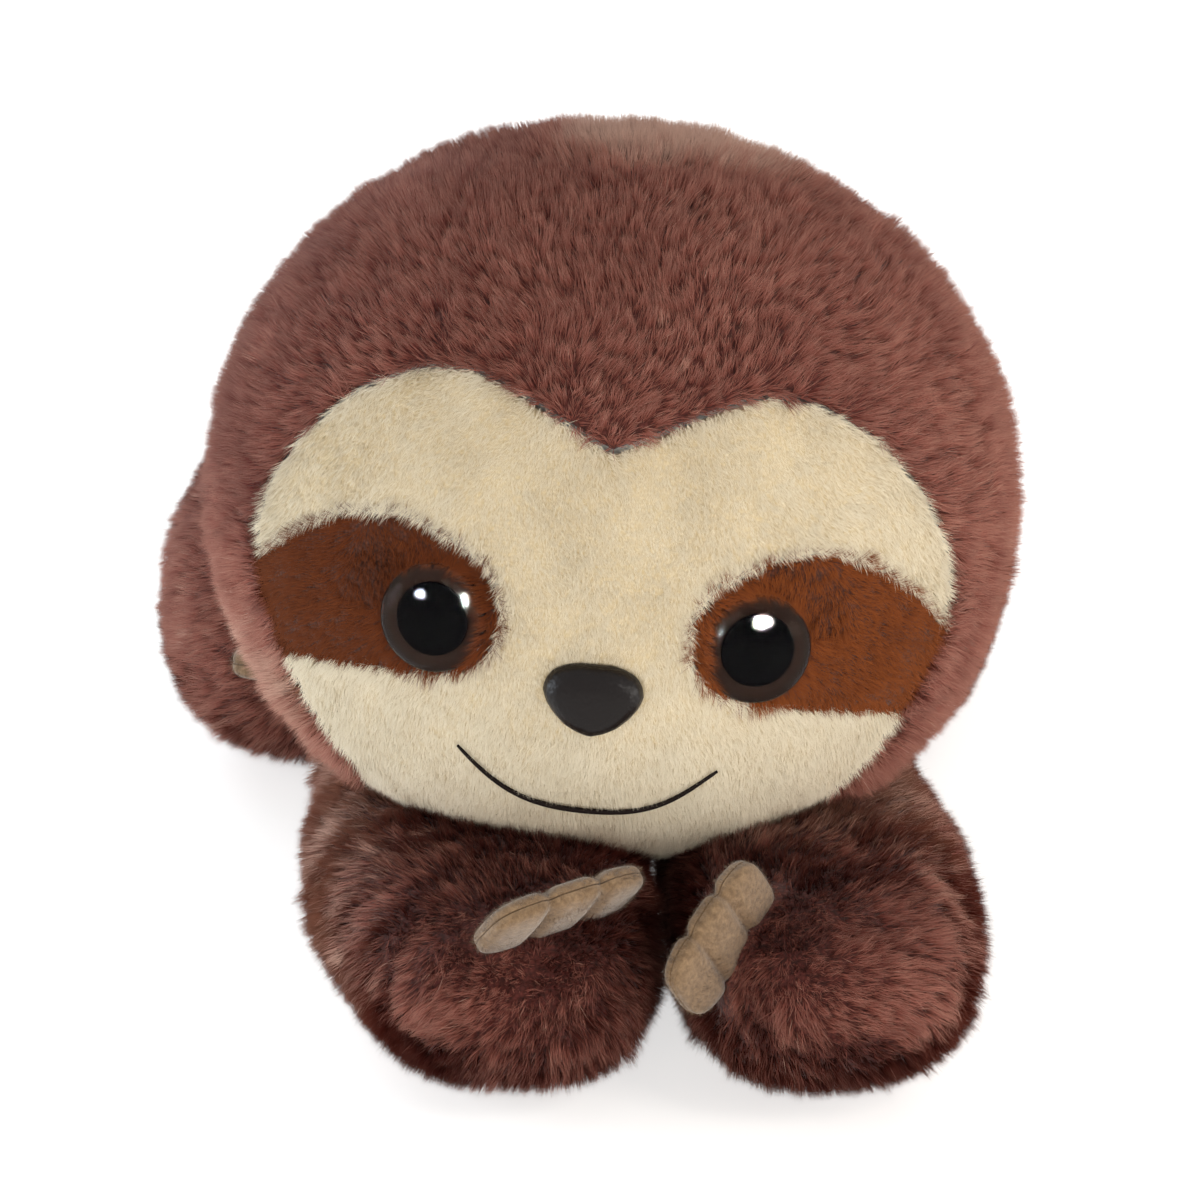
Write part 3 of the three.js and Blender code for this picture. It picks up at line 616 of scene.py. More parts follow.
def grow(
    name,
    mesh,
    pile,
    flow,
    shade,
    body,
    finish,
    form,
    near,
    seam,
    room=2.5 * MM,
    overlap=0.0,
    eyes=(),
    seed=0,
):
    """Plants strands on the outer side of a cover. They lie short and flat where another skin is close,
    keep off the walls of the seams, and lean over a seam by the overlap's share. The form says which way
    is out."""
    draw = np.random.default_rng(settings().seed * 1000 + seed)
    root, normal = planted(mesh, pile, form, seam, draw)
    space = ease_in(distances(near, root, room), SKIN_GAP, room)
    edge, over = np.zeros(len(root)), np.zeros((len(root), 3))
    if seam is not None:
        edge = np.exp(-((distances(seam, root, SEAM_REACH) / SEAM_EDGE) ** 2))
        over = overlap * edge[:, None] * ways_to(seam, root, SEAM_REACH)
    reach = (0.25 + 0.75 * space) * (1 + (0.6 - 0.8 * overlap) * edge)
    reach *= 1 + 0.1 * waves(root, 15 * MM, seed + 3)[:, 0] + 0.07 * waves(root, 5 * MM, seed + 6)[:, 0]
    for place in eyes:
        rim = np.linalg.norm(root - np.array(place.translation), axis=1) - settings().sizes.eye_radius
        reach *= 1 + 0.6 * np.exp(-((np.maximum(rim, 0) / EYE_EDGE) ** 2))
    way = flow(root, normal)
    way = unit(way - normal * (way * normal).sum(axis=1)[:, None])
    turn = waves(root, 26 * MM, seed + 1)[:, 0] + 0.7 * waves(root, 8 * MM, seed + 2)[:, 0]
    turn = (pile.swirl * turn)[:, None]
    way = way * np.cos(turn) + np.cross(normal, way) * np.sin(turn)
    way = unit(way * (1 - 0.8 * overlap * edge[:, None]) + 1.6 * over)
    sway = 0.16 * waves(root, 11 * MM, seed + 4)[:, 0]
    own = lock_heads(root, pile, draw)
    # A fibre's tone: a base, the painted light and shade of its place, and locks and patches that differ at
    # random
    tone = 0.34 + shade(root) + 0.4 * pile.mottle * draw.normal(size=len(root))[own]
    broad, small = waves(root, 18 * MM, seed + 5)[:, 0], waves(root, 6 * MM, seed + 7)[:, 0]
    tone += pile.mottle * (0.3 * broad + 0.2 * small)

    # Each tuft is a few strands that part a little
    tufts = (root, normal, reach, space, edge, way, sway, tone, own)
    base, normal, reach, space, edge, way, sway, tone, own = (np.repeat(rows, TUFT, axis=0) for rows in tufts)
    count = len(base)
    spread = draw.normal(scale=TUFT_SPREAD, size=(count, 3))
    base = base + spread - normal * ((spread * normal).sum(axis=1)[:, None] + SKIN_GAP)
    way = way + pile.stray * draw.normal(size=way.shape)
    way = unit(way - normal * (way * normal).sum(axis=1)[:, None])
    long = pile.fibre * draw.uniform(0.65, 1.15, count) * reach
    lean = (pile.root_lean + pile.tip_lean) / 2 + sway + draw.normal(scale=0.2, size=count)
    lean = np.clip(lean * (1 + (0.8 * overlap - 0.45) * edge), 0.05, 1.35)
    lean = np.maximum(lean, FLATTEST_LEAN * (1 - ease_in(space, 0, 0.3)))
    tip = base + long[:, None] * (normal * np.cos(lean)[:, None] + way * np.sin(lean)[:, None])
    pull = pile.clump * draw.uniform(0.4, 1.2, count)[:, None]
    tip += (tip[own * TUFT] - tip) * pull
    tip = over_eyes(tip, eyes)
    run = unit(tip - base)
    side = unit(np.cross(run, normal) + 1e-6)
    spin = draw.uniform(-0.9, 0.9, count)[:, None]
    side = side * np.cos(spin) + np.cross(run, side) * np.sin(spin)
    inward = (np.cross(side, run) * normal).sum(axis=1) < 0
    side[inward] *= -1
    wide = side * (pile.width * draw.uniform(0.7, 1.2, count) / 2)[:, None]
    fibres = np.stack([base - wide, base + wide, tip], axis=1)
    fibres[..., 2] = np.maximum(fibres[..., 2], FLOOR_CLEAR)
    lit = unit(0.75 * normal + 0.35 * np.cross(side, run))
    tone = np.clip(tone + 0.09 * (draw.exponential(size=count) - 1), 0.03, 0.97)

    parts = math.ceil(count / PIECE_TRIANGLES)
    for i, chosen in enumerate(np.array_split(np.argsort(base @ np.array([1.0, 0.6, 0.0])), parts)):
        number = len(chosen)
        uvs = np.empty((number, 3, 2))
        uvs[..., 0] = tone[chosen][:, None] + np.array([-0.006, 0.006, 0])
        uvs[..., 1] = [0.01, 0.01, 0.99]
        # Near a seam a fibre's foot starts further along the map, so it shows less painted shade
        uvs[:, :2, 1] += 0.5 * edge[chosen][:, None]
        piece_name = f"{name}_{i + 1}" if parts > 1 else name
        points, corners = fibres[chosen].reshape(-1, 3), np.arange(3 * number)
        grown = mesh_of(piece_name, points, corners, np.full(number, 3), uvs.reshape(-1, 2))
        grown.normals_split_custom_set_from_vertices(np.repeat(lit[chosen], 3, axis=0))
        link(piece_name, grown, finish, body)


def centre_and_half(names):
    low = np.min([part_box(n)[0] for n in names], axis=0)
    high = np.max([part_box(n)[1] for n in names], axis=0)
    return (low + high) / 2, (high - low) / 2


def form_of(middle, half, axes=np.eye(3)):
    """A middle, and the matrix that turns a way from it into the way out of an ellipsoid round it."""
    return middle, axes.T @ np.diag(half**-2.0) @ axes


def sewn_cover(node, body, finish, rounds=14):
    """The knit cover that stands for a CAD cover."""
    mesh = remeshed(node, settings().sizes.knit_step, rounds)
    cover = link(node + "_knit", mesh, finish, body, (node,))
    return cover


def lathe(name, profile, place, sides=64):
    """A turned shape. Its profile is (radius, height) points, from axis to axis."""
    radii = np.array([r for r, h in profile])
    heights = np.array([h for r, h in profile])
    turn = np.linspace(0, 2 * math.pi, sides, endpoint=False)
    across, along = radii[:, None] * np.cos(turn), radii[:, None] * np.sin(turn)
    rings = np.stack([across, along, np.repeat(heights[:, None], sides, 1)], axis=-1)
    points = rings.reshape(-1, 3)
    loops = []
    for ring in range(len(profile) - 1):
        for i in range(sides):
            j = (i + 1) % sides
            loops.extend([ring * sides + i, ring * sides + j, (ring + 1) * sides + j, (ring + 1) * sides + i])
    counts = [4] * (len(loops) // 4)
    uvs = np.zeros((len(points), 2))
    uvs[:, 0] = np.tile(np.linspace(0.02, 0.98, sides), len(profile))
    uvs[:, 1] = np.repeat(radii / radii.max(), sides)
    world = np.array(place)
    placed = points @ world[:3, :3].T + world[:3, 3]
    mesh = mesh_of(name, placed, np.array(loops), counts, uvs)
    shape = bmesh.new()
    shape.from_mesh(mesh)
    bmesh.ops.remove_doubles(shape, verts=shape.verts, dist=0.0005 * MM)
    bmesh.ops.recalc_face_normals(shape, faces=shape.faces)
    shape.to_mesh(mesh)
    shape.free()
    return mesh


def disc_place(node, outward_of):
    """The place of a thin disc: its middle, with Z along its axis, away from the head's middle."""
    points = np.unique(points_of(nodes[node].data).round(7), axis=0)
    middle = points.mean(axis=0)
    axis = np.linalg.svd(points - middle)[2][2]
    if axis @ (middle - outward_of) < 0:
        axis = -axis
    turn = Vector(axis).to_track_quat("Z", "Y").to_matrix().to_4x4()
    return Matrix.Translation(Vector(middle)) @ turn


def eye_place(side):
    """The middle of an eye's seat, with Z out of the head."""
    seat = Matrix.Translation((0, 0, -settings().sizes.pupil_height))
    return disc_place(f"{side}_eye_pupil", HEAD_MIDDLE) @ seat


def rounded(radius, low, high, ease, steps=4):
    """Profile points round the rim of a disc from its foot to its top."""
    rim = []
    for i in range(steps + 1):
        a = math.pi / 2 * i / steps
        rim.append((radius - ease + ease * math.sin(a), low + ease - ease * math.cos(a)))
    for i in range(steps + 1):
        a = math.pi / 2 * i / steps
        rim.append((radius - ease + ease * math.cos(a), high - ease + ease * math.sin(a)))
    return rim


HEAD_MIDDLE, HEAD_HALF = centre_and_half(["head_cover"])
FACE_MIDDLE = centre_and_half(["face_panel"])[0]
TORSO_MIDDLE, TORSO_HALF = centre_and_half(["left_back_cover", "right_back_cover"])
SEAM_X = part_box("right_back_cover")[0][0]
HEAD_FORM = form_of(HEAD_MIDDLE, HEAD_HALF)
TORSO_FORM = form_of(TORSO_MIDDLE, TORSO_HALF)


def face_flow(base, normal):
    """Pile that runs out from the middle of the face, and hangs at the sides and back."""
    away = unit(base - FACE_MIDDLE)
    back = np.clip((base[:, 1] - HEAD_MIDDLE[1]) / HEAD_HALF[1], 0, 1)[:, None]
    return away + np.array([0, 0, -1]) * (0.25 + 1.3 * back)


def cream_flow(base, normal):
    """Short pile that is brushed down, and a little outwards."""
    return np.array([0, -0.35, -1]) + 0.35 * unit(base - FACE_MIDDLE)


def patch_flow(place):
    """Pile that runs out to the side of the face, and over the eye from its upper and inner edge."""
    middle, down = np.array(place.translation), np.array([0, 0, -1.0])

    def flow(base, normal):
        to_eye = middle - base
        gap = np.linalg.norm(to_eye, axis=1) / settings().sizes.eye_radius
        inner = np.abs(base[:, 0] - HEAD_MIDDLE[0]) < abs(middle[0] - HEAD_MIDDLE[0])
        above = (base[:, 2] > middle[2]) | inner
        pull = np.where(above, np.clip(2.2 - gap, 0, 1) * 3, 0)[:, None]
        return face_flow(base, normal) + 0.5 * down + pull * unit(to_eye)

    return flow


def back_flow(base, normal):
    """Pile that runs to the tail, and falls away from the back seam."""
    aside = np.sign(base[:, 0] - SEAM_X)[:, None] * np.array([0.35, 0, 0])
    return np.array([0, 1, -0.45]) + aside


def limb_flow(direction):
    """Pile that runs to the paw and hangs a little."""
    return lambda base, normal: np.tile(np.array(direction) + np.array([0, 0, -0.3]), (len(base), 1))


def ease_in(values, low, high):
    """0 below the low value, 1 above the high one, and even in between."""
    return np.clip((values - low) / (high - low), 0, 1)


def head_painted_light(base):
    """Painted light and shade on the head's pile: the crown's far edge is paler, partly paler fur and partly
    painted rim light; the right side and the left jowl are paler with painted light; the left side is darker
    with painted shade, and the top a little darker with painted shade.
    """
    x, y, z = ((base - HEAD_MIDDLE) / HEAD_HALF).T
    crown = ease_in(0.94 * z + 0.34 * y, 0.78, 0.94) * ease_in(x, -0.2, 0) * ease_in(-x, -0.75, -0.4)
    left_jowl = ease_in(-x, 0.5, 0.85) * ease_in(-z, -0.1, 0.4)
    left_side = ease_in(-x, 0.5, 0.9) * ease_in(z, -0.4, 0)
    sides = 0.06 * ease_in(x, 0.5, 0.95) - 0.2 * left_side + 0.5 * left_jowl
    return -0.04 * ease_in(z, 0, 0.6) + 0.95 * crown + sides


def arm_painted_light(node, side, aside, above):
    """An arm is paler on its outer side and on top: painted light."""
    middle, half = centre_and_half([node])

    def shade(base):
        x, y, z = ((base - middle) / half).T
        return aside * ease_in(side * x, 0.35, 0.85) + above * ease_in(z, 0.3, 0.9) * ease_in(y, -0.7, -0.2)

    return shade


def even_shade(amount):
    return lambda base: np.full(len(base), amount)


def seen_rays(tree):
    """1 for rays that see the white surround, straight, mirrored or through a dome, and 0 for the others."""
    rays = add(tree, "LightPath").outputs
    seen = rays["Is Camera Ray"]
    for kind in ("Is Glossy Ray", "Is Transmission Ray"):
        seen = add(tree, "Math", operation="MAXIMUM", links={0: seen, 1: rays[kind]}).outputs[0]
    return seen


class SLOTH_OT_stage(bpy.types.Operator):
    """Floor, soft studio lamps, white surround and the photograph's camera"""

    bl_idname = "plush_sloth.stage"
    bl_label = "Stage"

    def execute(self, context):
        floor_mesh = bpy.data.meshes.new("floor")
        corners = [(x * FLOOR_HALF, y * FLOOR_HALF, 0) for x, y in ((-1, -1), (1, -1), (1, 1), (-1, 1))]
        floor_mesh.from_pydata(corners, [], [(0, 1, 2, 3)])
        floor = bpy.data.objects.new("floor", floor_mesh)
        context.scene.collection.objects.link(floor)
        paper = new_material("white_paper_floor")
        tree = paper.node_tree
        glow = add(tree, "MapRange", values=FLOOR_LEVELS, links={"Value": seen_rays(tree)})
        matt = add(tree, "BsdfDiffuse", values={"Color": linear(0xEFEDEA)})
        lit = add(tree, "Emission", values={"Color": (1, 1, 1)}, links={"Strength": glow.outputs["Result"]})
        both = add(tree, "AddShader", links={0: matt.outputs[0], 1: lit.outputs[0]})
        floor.data.materials.append(finish_material(paper, both))

        world = bpy.data.worlds.new("white_surround")
        context.scene.world = world
        world.use_nodes = True
        tree = world.node_tree
        tree.nodes.clear()
        level = add(tree, "MapRange", values=SURROUND_LEVELS, links={"Value": seen_rays(tree)})
        white = {"Color": (1, 1, 1)}
        sky = add(tree, "Background", values=white, links={"Strength": level.outputs["Result"]})
        add(tree, "OutputWorld", links={"Surface": sky.outputs[0]})

        aim = Vector(HEAD_MIDDLE)
        for name, place, (wide, high), power, tint in LAMPS:
            lamp = bpy.data.lights.new(name, "AREA")
            lamp.shape = "RECTANGLE"
            lamp.size, lamp.size_y = wide, high
            lamp.energy = power
            lamp.color = tint
            carrier = bpy.data.objects.new(name, lamp)
            context.scene.collection.objects.link(carrier)
            carrier.location = place
            carrier.rotation_euler = (aim - Vector(place)).to_track_quat("-Z", "Y").to_euler()
            if name.startswith("catch"):
                carrier.light_linking.receiver_collection = eye_gloss()
                carrier.visible_transmission = False
                lamp.cycles.max_bounces = 1
            if name == "front":
                carrier.visible_glossy = False

        tilt = math.radians(CAMERA_ELEVATION)
        look = Vector((0, math.cos(tilt), -math.sin(tilt)))
        up = Vector((0, math.sin(tilt), math.cos(tilt)))
        shift_right = (IMAGE_PX / 2 - HEAD_PX[0]) / FACE_PX_PER_MM * MM
        shift_up = (HEAD_PX[1] - IMAGE_PX / 2) / FACE_PX_PER_MM * MM
        target = Vector(HEAD_PLACE) + Vector((shift_right, 0, 0)) + up * shift_up
        camera = bpy.data.cameras.new("camera")
        camera.sensor_width = SENSOR_MM
        camera.lens = SENSOR_MM * FACE_PX_PER_MM * CAMERA_MM / IMAGE_PX
        eye = bpy.data.objects.new("camera", camera)
        context.scene.collection.objects.link(eye)
        eye.location = target - look * CAMERA_MM * MM
        eye.rotation_euler = look.to_track_quat("-Z", "Y").to_euler()
        context.scene.camera = eye
        context.scene.view_settings.view_transform = "Standard"
        return {"FINISHED"}


def eye_gloss():
    """The clear domes, which alone see the catch lamps, so that the eyes sparkle and nothing else does."""
    return bpy.data.collections.get("eye_gloss") or bpy.data.collections.new("eye_gloss")


def brown_pile():
    tones = settings().colours
    return material(
        "polyester_faux_fur_brown_brushed",
        pile_material,
        tones.brown_root,
        tones.brown_dark,
        tones.brown_light,
        tones.brown_tan,
        0.8,
        0.0,
    )


def brown_knit():
    tones = settings().colours
    return material("polyester_knit_backing_brown", knit_material, tones.brown_root, tones.brown_dark, 0.8)


class SLOTH_OT_head(bpy.types.Operator):
    """Head cover and its long brown pile"""

    bl_idname = "plush_sloth.head"
    bl_label = "Head"

    def execute(self, context):
        sizes = settings().sizes
        sewn_cover("head_cover", "head", brown_knit())
        seam = tree_of(["face_panel", "left_eye_patch", "right_eye_patch"])
        grow(
            "head_pile", nodes["head_cover"].data, sizes.brown, face_flow, head_painted_light, "head", brown_pile(),
            HEAD_FORM, neighbours("head"), seam, overlap=0.7, seed=1,
        )
        return {"FINISHED"}


class SLOTH_OT_neck(bpy.types.Operator):
    """Knit and short pile over the ball of stuffing that the head turns on"""

    bl_idname = "plush_sloth.neck"
    bl_label = "Neck"

    def execute(self, context):
        sizes = settings().sizes
        joint = next(j for j in frame["record"]["behaviour"]["joints"] if j["name"] == "neck_nod")
        centre, radius = Vector(joint["pos_m"]), sizes.neck_radius
        shape = bmesh.new()
        bmesh.ops.create_icosphere(shape, subdivisions=5, radius=radius, matrix=Matrix.Translation(centre))
        behind = [v for v in shape.verts if v.co.y > centre.y + radius * 0.45]
        bmesh.ops.delete(shape, geom=behind, context="VERTS")
        mesh = bpy.data.meshes.new("neck_knit")
        shape.to_mesh(mesh)
        shape.free()
        link("neck_knit", mesh, brown_knit(), "torso")
        skins = [name for body in BODIES for name in skins_of(body)]
        grow(
            "neck_pile", mesh, sizes.brown, back_flow, even_shade(0.1), "torso", brown_pile(),
            form_of(np.array(centre), np.full(3, radius)), tree_of(skins), None, seed=90,
        )
        return {"FINISHED"}


class SLOTH_OT_face(bpy.types.Operator):
    """Cream face panel and the two eye patches with their short pile"""

    bl_idname = "plush_sloth.face"
    bl_label = "Face"

    def execute(self, context):
        sizes, tones = settings().sizes, settings().colours
        hard = ["nose", "mouth_stitching", "left_eye_iris", "right_eye_iris"]
        near = neighbours("head", hard)
        low, high, pale = tones.cream_root, tones.cream_dark, tones.cream_light
        cream = material("polyester_minky_cream_brushed", pile_material, low, high, pale, pale, 0.85, 0.3)
        knit = material("polyester_knit_backing_cream", knit_material, low, high, 0.6)
        sewn_cover("face_panel", "head", knit, rounds=6)
        seam = tree_of(["head_cover", "left_eye_patch", "right_eye_patch"])
        grow(
            "face_pile", nodes["face_panel"].data, sizes.cream, cream_flow, even_shade(0.1), "head", cream,
            HEAD_FORM, near, seam, room=1.2 * MM, overlap=0.35, seed=20,
        )
        low, high, pale = tones.patch_root, tones.patch_dark, tones.patch_light
        brown = material("polyester_minky_patch_brushed", pile_material, low, high, pale, pale, 0.8, 0.08)
        knit = material("polyester_knit_backing_patch", knit_material, low, high, 0.6)
        seam = tree_of(["head_cover", "face_panel"])
        # The left patch's pile is darker by painted shade
        for i, (side, tone) in enumerate((("left", -0.42), ("right", 0.0))):
            node = f"{side}_eye_patch"
            sewn_cover(node, "head", knit, rounds=6)
            place = eye_place(side)
            grow(
                f"{side}_patch_pile", nodes[node].data, sizes.patch, patch_flow(place), even_shade(tone),
                "head", brown, HEAD_FORM, near, seam, room=0.8 * MM, overlap=0.7, eyes=[place],
                seed=30 + 10 * i,
            )
        return {"FINISHED"}


class SLOTH_OT_eyes(bpy.types.Operator):
    """Safety eyes: painted iris on its shank, black pupil and clear dome"""

    bl_idname = "plush_sloth.eyes"
    bl_label = "Eyes"

    def execute(self, context):
        sizes, tones = settings().sizes, settings().colours
        acrylic = acrylic_material()
        paint = iris_material(tones.iris, tones.iris_rim)
        black = plain_plastic("matt_paint_pupil_black", linear(0x060607), 0.8, gloss=0.0)
        for side in ("left", "right"):
            place = eye_place(side)
            radius = sizes.eye_radius
            shank, foot = sizes.shank_radius, -sizes.shank_length
            iris = [(0, foot), (shank * 0.7, foot), (shank, foot + shank * 0.3), (shank, 0)]
            iris += rounded(radius, 0, sizes.plate, 0.3 * MM)
            iris += [(radius * 0.8, sizes.plate), (0, sizes.plate)]
            turned = lathe(f"{side}_iris", iris, place)
            link(f"{side}_iris", turned, paint, "head", (f"{side}_eye_iris",))
            low, high = sizes.pupil_height - 0.3 * MM, sizes.pupil_height + 0.3 * MM
            pupil = [(0, low), *rounded(sizes.pupil_radius, low, high, 0.12 * MM), (0, high)]
            turned = lathe(f"{side}_pupil", pupil, place)
            link(f"{side}_pupil", turned, black, "head", (f"{side}_eye_pupil",))
            low, top, hollow = sizes.dome_low, sizes.dome_top, sizes.dome_hollow
            steps = 20
            dome = [(0, hollow), (radius * 0.5, hollow - 0.02 * MM), (radius * 0.78, hollow - 0.1 * MM)]
            dome += [(radius * 0.9, low + 0.35 * MM), (radius * 0.97, low)]
            for i in range(steps + 1):
                a = math.pi / 2 * i / steps
                dome.append((radius * math.cos(a), low + 0.3 * MM + (top - low - 0.3 * MM) * math.sin(a)))
            turned = lathe(f"{side}_dome", dome, place, sides=96)
            clear = link(f"{side}_dome", turned, acrylic, "head", (f"{side}_eye_dome",))
            eye_gloss().objects.link(clear)
        return {"FINISHED"}


def centre_line(node, count):
    """Points along the middle of a thread that runs from left to right."""
    points = points_of(nodes[node].data)
    x = points[:, 0]
    places = np.linspace(x.min(), x.max(), count)
    along = (places - x.mean()) / np.ptp(x)
    fits = [np.polyfit((x - x.mean()) / np.ptp(x), points[:, axis], 6) for axis in (1, 2)]
    return np.stack([places] + [np.polyval(fit, along) for fit in fits], axis=1)


class SLOTH_OT_nose_and_mouth(bpy.types.Operator):
    """Moulded nose and the mouth's line of thread"""

    bl_idname = "plush_sloth.nose_and_mouth"
    bl_label = "Nose and mouth"

    def execute(self, context):
        sizes, tones = settings().sizes, settings().colours
        satin = plain_plastic("abs_nose_black_textured", tones.nose, 0.36, 0.55, 0.12, gloss=0.2)
        mesh = remeshed("nose", sizes.nose_step, 24)
        link("nose_moulding", mesh, satin, "head", ("nose",))
        dark = thread_material("polyester_thread_brown_twisted", tones.thread)
        line = centre_line("mouth_stitching", 48)
        ends = np.linspace(0, 1, len(line))
        curve = bpy.data.curves.new("mouth_thread", "CURVE")
        curve.dimensions = "3D"
        curve.bevel_depth = sizes.thread_radius
        curve.bevel_resolution = 3
        spline = curve.splines.new("POLY")
        spline.points.add(len(line) - 1)
        for i, point in enumerate(line):
            spline.points[i].co = (*point, 1)
            spline.points[i].radius = 0.55 + 0.5 * math.sin(math.pi * ends[i]) ** 0.5
        link_curve = bpy.data.objects.new("mouth_thread", curve)
        context.scene.collection.objects.link(link_curve)
        curve.materials.append(dark)
        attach(link_curve, "head")
        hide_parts("mouth_stitching")
        return {"FINISHED"}


class SLOTH_OT_torso(bpy.types.Operator):
    """Two back covers, belly panel and their pile"""

    bl_idname = "plush_sloth.torso"
    bl_label = "Torso"

    def execute(self, context):
        sizes = settings().sizes
        near = neighbours("torso")
        for i, side in enumerate(("left", "right")):
            node = f"{side}_back_cover"
            seam = tree_of([name for name in skins_of("torso") if name != node])
            sewn_cover(node, "torso", brown_knit())
            # The back's pile is paler, partly its own tone and partly painted light from above
            grow(
                f"{side}_back_pile", nodes[node].data, sizes.brown, back_flow, even_shade(0.24), "torso",
                brown_pile(), TORSO_FORM, near, seam, seed=50 + 10 * i,
            )
        sewn_cover("belly_panel", "torso", brown_knit())
        seam = tree_of(["left_back_cover", "right_back_cover"])
        grow(
            "belly_pile", nodes["belly_panel"].data, sizes.brown, back_flow, even_shade(-0.05), "torso",
            brown_pile(), TORSO_FORM, near, seam, seed=70,
        )
        return {"FINISHED"}


class SLOTH_OT_limbs(bpy.types.Operator):
    """Covers and pile of the arms and legs"""

    bl_idname = "plush_sloth.limbs"
    bl_label = "Arms and legs"

    def execute(self, context):
        sizes = settings().sizes
        # The arms' paler outer sides and tops and the left leg's paler pile are painted light
        limbs = [
            ("left_arm", (-0.6, -0.7, 0), arm_painted_light("left_arm_cover", -1, 0.6, 0.5)),
            ("right_arm", (0.6, -0.7, 0), arm_painted_light("right_arm_cover", 1, 0.16, 0.9)),
            ("left_leg", (-0.9, -0.2, 0.3), even_shade(0.12)),
            ("right_leg", (0.9, -0.2, 0.3), even_shade(0.0)),
        ]
        for i, (limb, direction, shade) in enumerate(limbs):
            node = f"{limb}_cover"
            sewn_cover(node, limb, brown_knit())
            claws = [f"{limb}_claws_upper", f"{limb}_claws_lower"]
            grow(
                f"{limb}_pile", nodes[node].data, sizes.brown, limb_flow(direction), shade, limb,
                brown_pile(), form_of(*centre_and_half([node])), neighbours(limb, claws), None,
                room=1.8 * MM, seed=100 + 10 * i,
            )
        return {"FINISHED"}


# Each mitt's roll, dip and turn in degrees, and its length, finger and thickness as shares of its solid's
MITTS = (
    ("left_arm", 28, 12, 0, (0.97, 0.85, 0.75)),
    ("right_arm", 0, 0, -14, (0.88, 0.9, 0.8)),
    ("left_leg", 0, 0, 0, (1.0, 1.0, 1.0)),
    ("right_leg", 0, 0, 0, (1.0, 1.0, 1.0)),
)

# A mitt of half size 1: squareness, grooves between the fingers, and half the seam
MITT_POWER = 4
GROOVE_PLACES = (-0.34, 0.34)
GROOVE_WIDTH_SHARE = 0.085
GROOVE_DEPTH_SHARE = 0.42
MITT_SEAM_SHARE = 0.055


def mitt_place(layers):
    """A mitt's middle, its axes (the row of fingers, a finger, and from the lower to the upper layer) and its
    half sizes along them."""
    cut = [points_of(nodes[name].data) for name in layers]
    points = np.concatenate(cut)
    middle = points.mean(axis=0)
    row, finger, _ = np.linalg.svd(points - middle, full_matrices=False)[2]
    across = np.cross(row, finger)
    if (cut[0].mean(axis=0) - cut[1].mean(axis=0)) @ across < 0:
        finger, across = -finger, -across
    axes = np.stack([row, finger, across])
    own = (points - middle) @ axes.T
    low, high = own.min(axis=0), own.max(axis=0)
    return middle + (low + high) / 2 @ axes, axes, (high - low) / 2


def mitt_halves(names, place, half):
    """A mitt's upper and lower layer: three stuffed fingers side by side, with a groove between them."""
    shape = bmesh.new()
    bmesh.ops.create_icosphere(shape, subdivisions=6, radius=1)
    for vert in shape.verts:
        x, y, z = vert.co / sum(abs(part) ** MITT_POWER for part in vert.co) ** (1 / MITT_POWER)
        groove = sum(math.exp(-(((x - spot) / GROOVE_WIDTH_SHARE) ** 2)) for spot in GROOVE_PLACES)
        vert.co = (x, y * (1 - 0.1 * groove), z * (1 - GROOVE_DEPTH_SHARE * groove) * (1 - 0.12 * y * y))
    solid = bpy.data.meshes.new("mitt")
    shape.to_mesh(solid)
    shape.free()
    meshes = []
    for name, way in zip(names, (1, -1)):
        layer = bmesh.new()
        layer.from_mesh(solid)
        cut = bmesh.ops.bisect_plane(
            layer,
            geom=layer.verts[:] + layer.edges[:] + layer.faces[:],
            plane_co=(0, 0, way * MITT_SEAM_SHARE),
            plane_no=(0, 0, -way),
            clear_outer=True,
        )
        rim = [part for part in cut["geom_cut"] if isinstance(part, bmesh.types.BMEdge)]
        bmesh.ops.holes_fill(layer, edges=rim)
        layer.transform(place @ Matrix.Diagonal((*half, 1)))
        bmesh.ops.recalc_face_normals(layer, faces=layer.faces)
        if layer.calc_volume(signed=True) < 0:
            bmesh.ops.reverse_faces(layer, faces=layer.faces)
        mesh = bpy.data.meshes.new(name + "_felt")
        layer.to_mesh(mesh)
        layer.free()
        mesh.polygons.foreach_set("use_smooth", np.ones(len(mesh.polygons), bool))
        meshes.append(mesh)
    bpy.data.meshes.remove(solid)
    return meshes


class SLOTH_OT_claws(bpy.types.Operator):
    """Felt claws of two layers on each paw"""

    bl_idname = "plush_sloth.claws"
    bl_label = "Claws"

    def execute(self, context):
        sizes, tones = settings().sizes, settings().colours
        felt = material("wool_felt_tan_pressed", felt_material, tones.felt, tones.felt_light)
        low, high = tones.felt, tones.felt_light
        nap = material("wool_nap_tan", pile_material, low, low, high, high, 0.9, 0.3)
        for i, (limb, roll, dip, turn, shares) in enumerate(MITTS):
            layers = [f"{limb}_claws_upper", f"{limb}_claws_lower"]
            middle, axes, half = mitt_place(layers)
            middle = middle + unit(middle - centre_and_half([f"{limb}_cover"])[0]) * sizes.felt_lift
            place = Matrix.Translation(Vector(middle)) @ Matrix(axes.T.tolist()).to_4x4()
            for way, degrees in (("Z", turn), ("X", roll), ("Y", dip)):
                place = place @ Matrix.Rotation(math.radians(degrees), 4, way)
            half = half * np.array(shares)
            form = form_of(middle, half, np.array(place.to_3x3()).T)
            meshes = mitt_halves(layers, place, half)
            for j, (node, mesh) in enumerate(zip(layers, meshes)):
                cover = link(node + "_felt", mesh, felt, limb, (node,))
                grow(
                    node + "_nap", mesh, sizes.nap, limb_flow((0, -1, 0)), even_shade(0.0), limb, nap,
                    form, neighbours(limb), search_tree([meshes[1 - j]]), room=0.6 * MM,
                    seed=200 + 20 * i + 10 * j,
                )
        return {"FINISHED"}


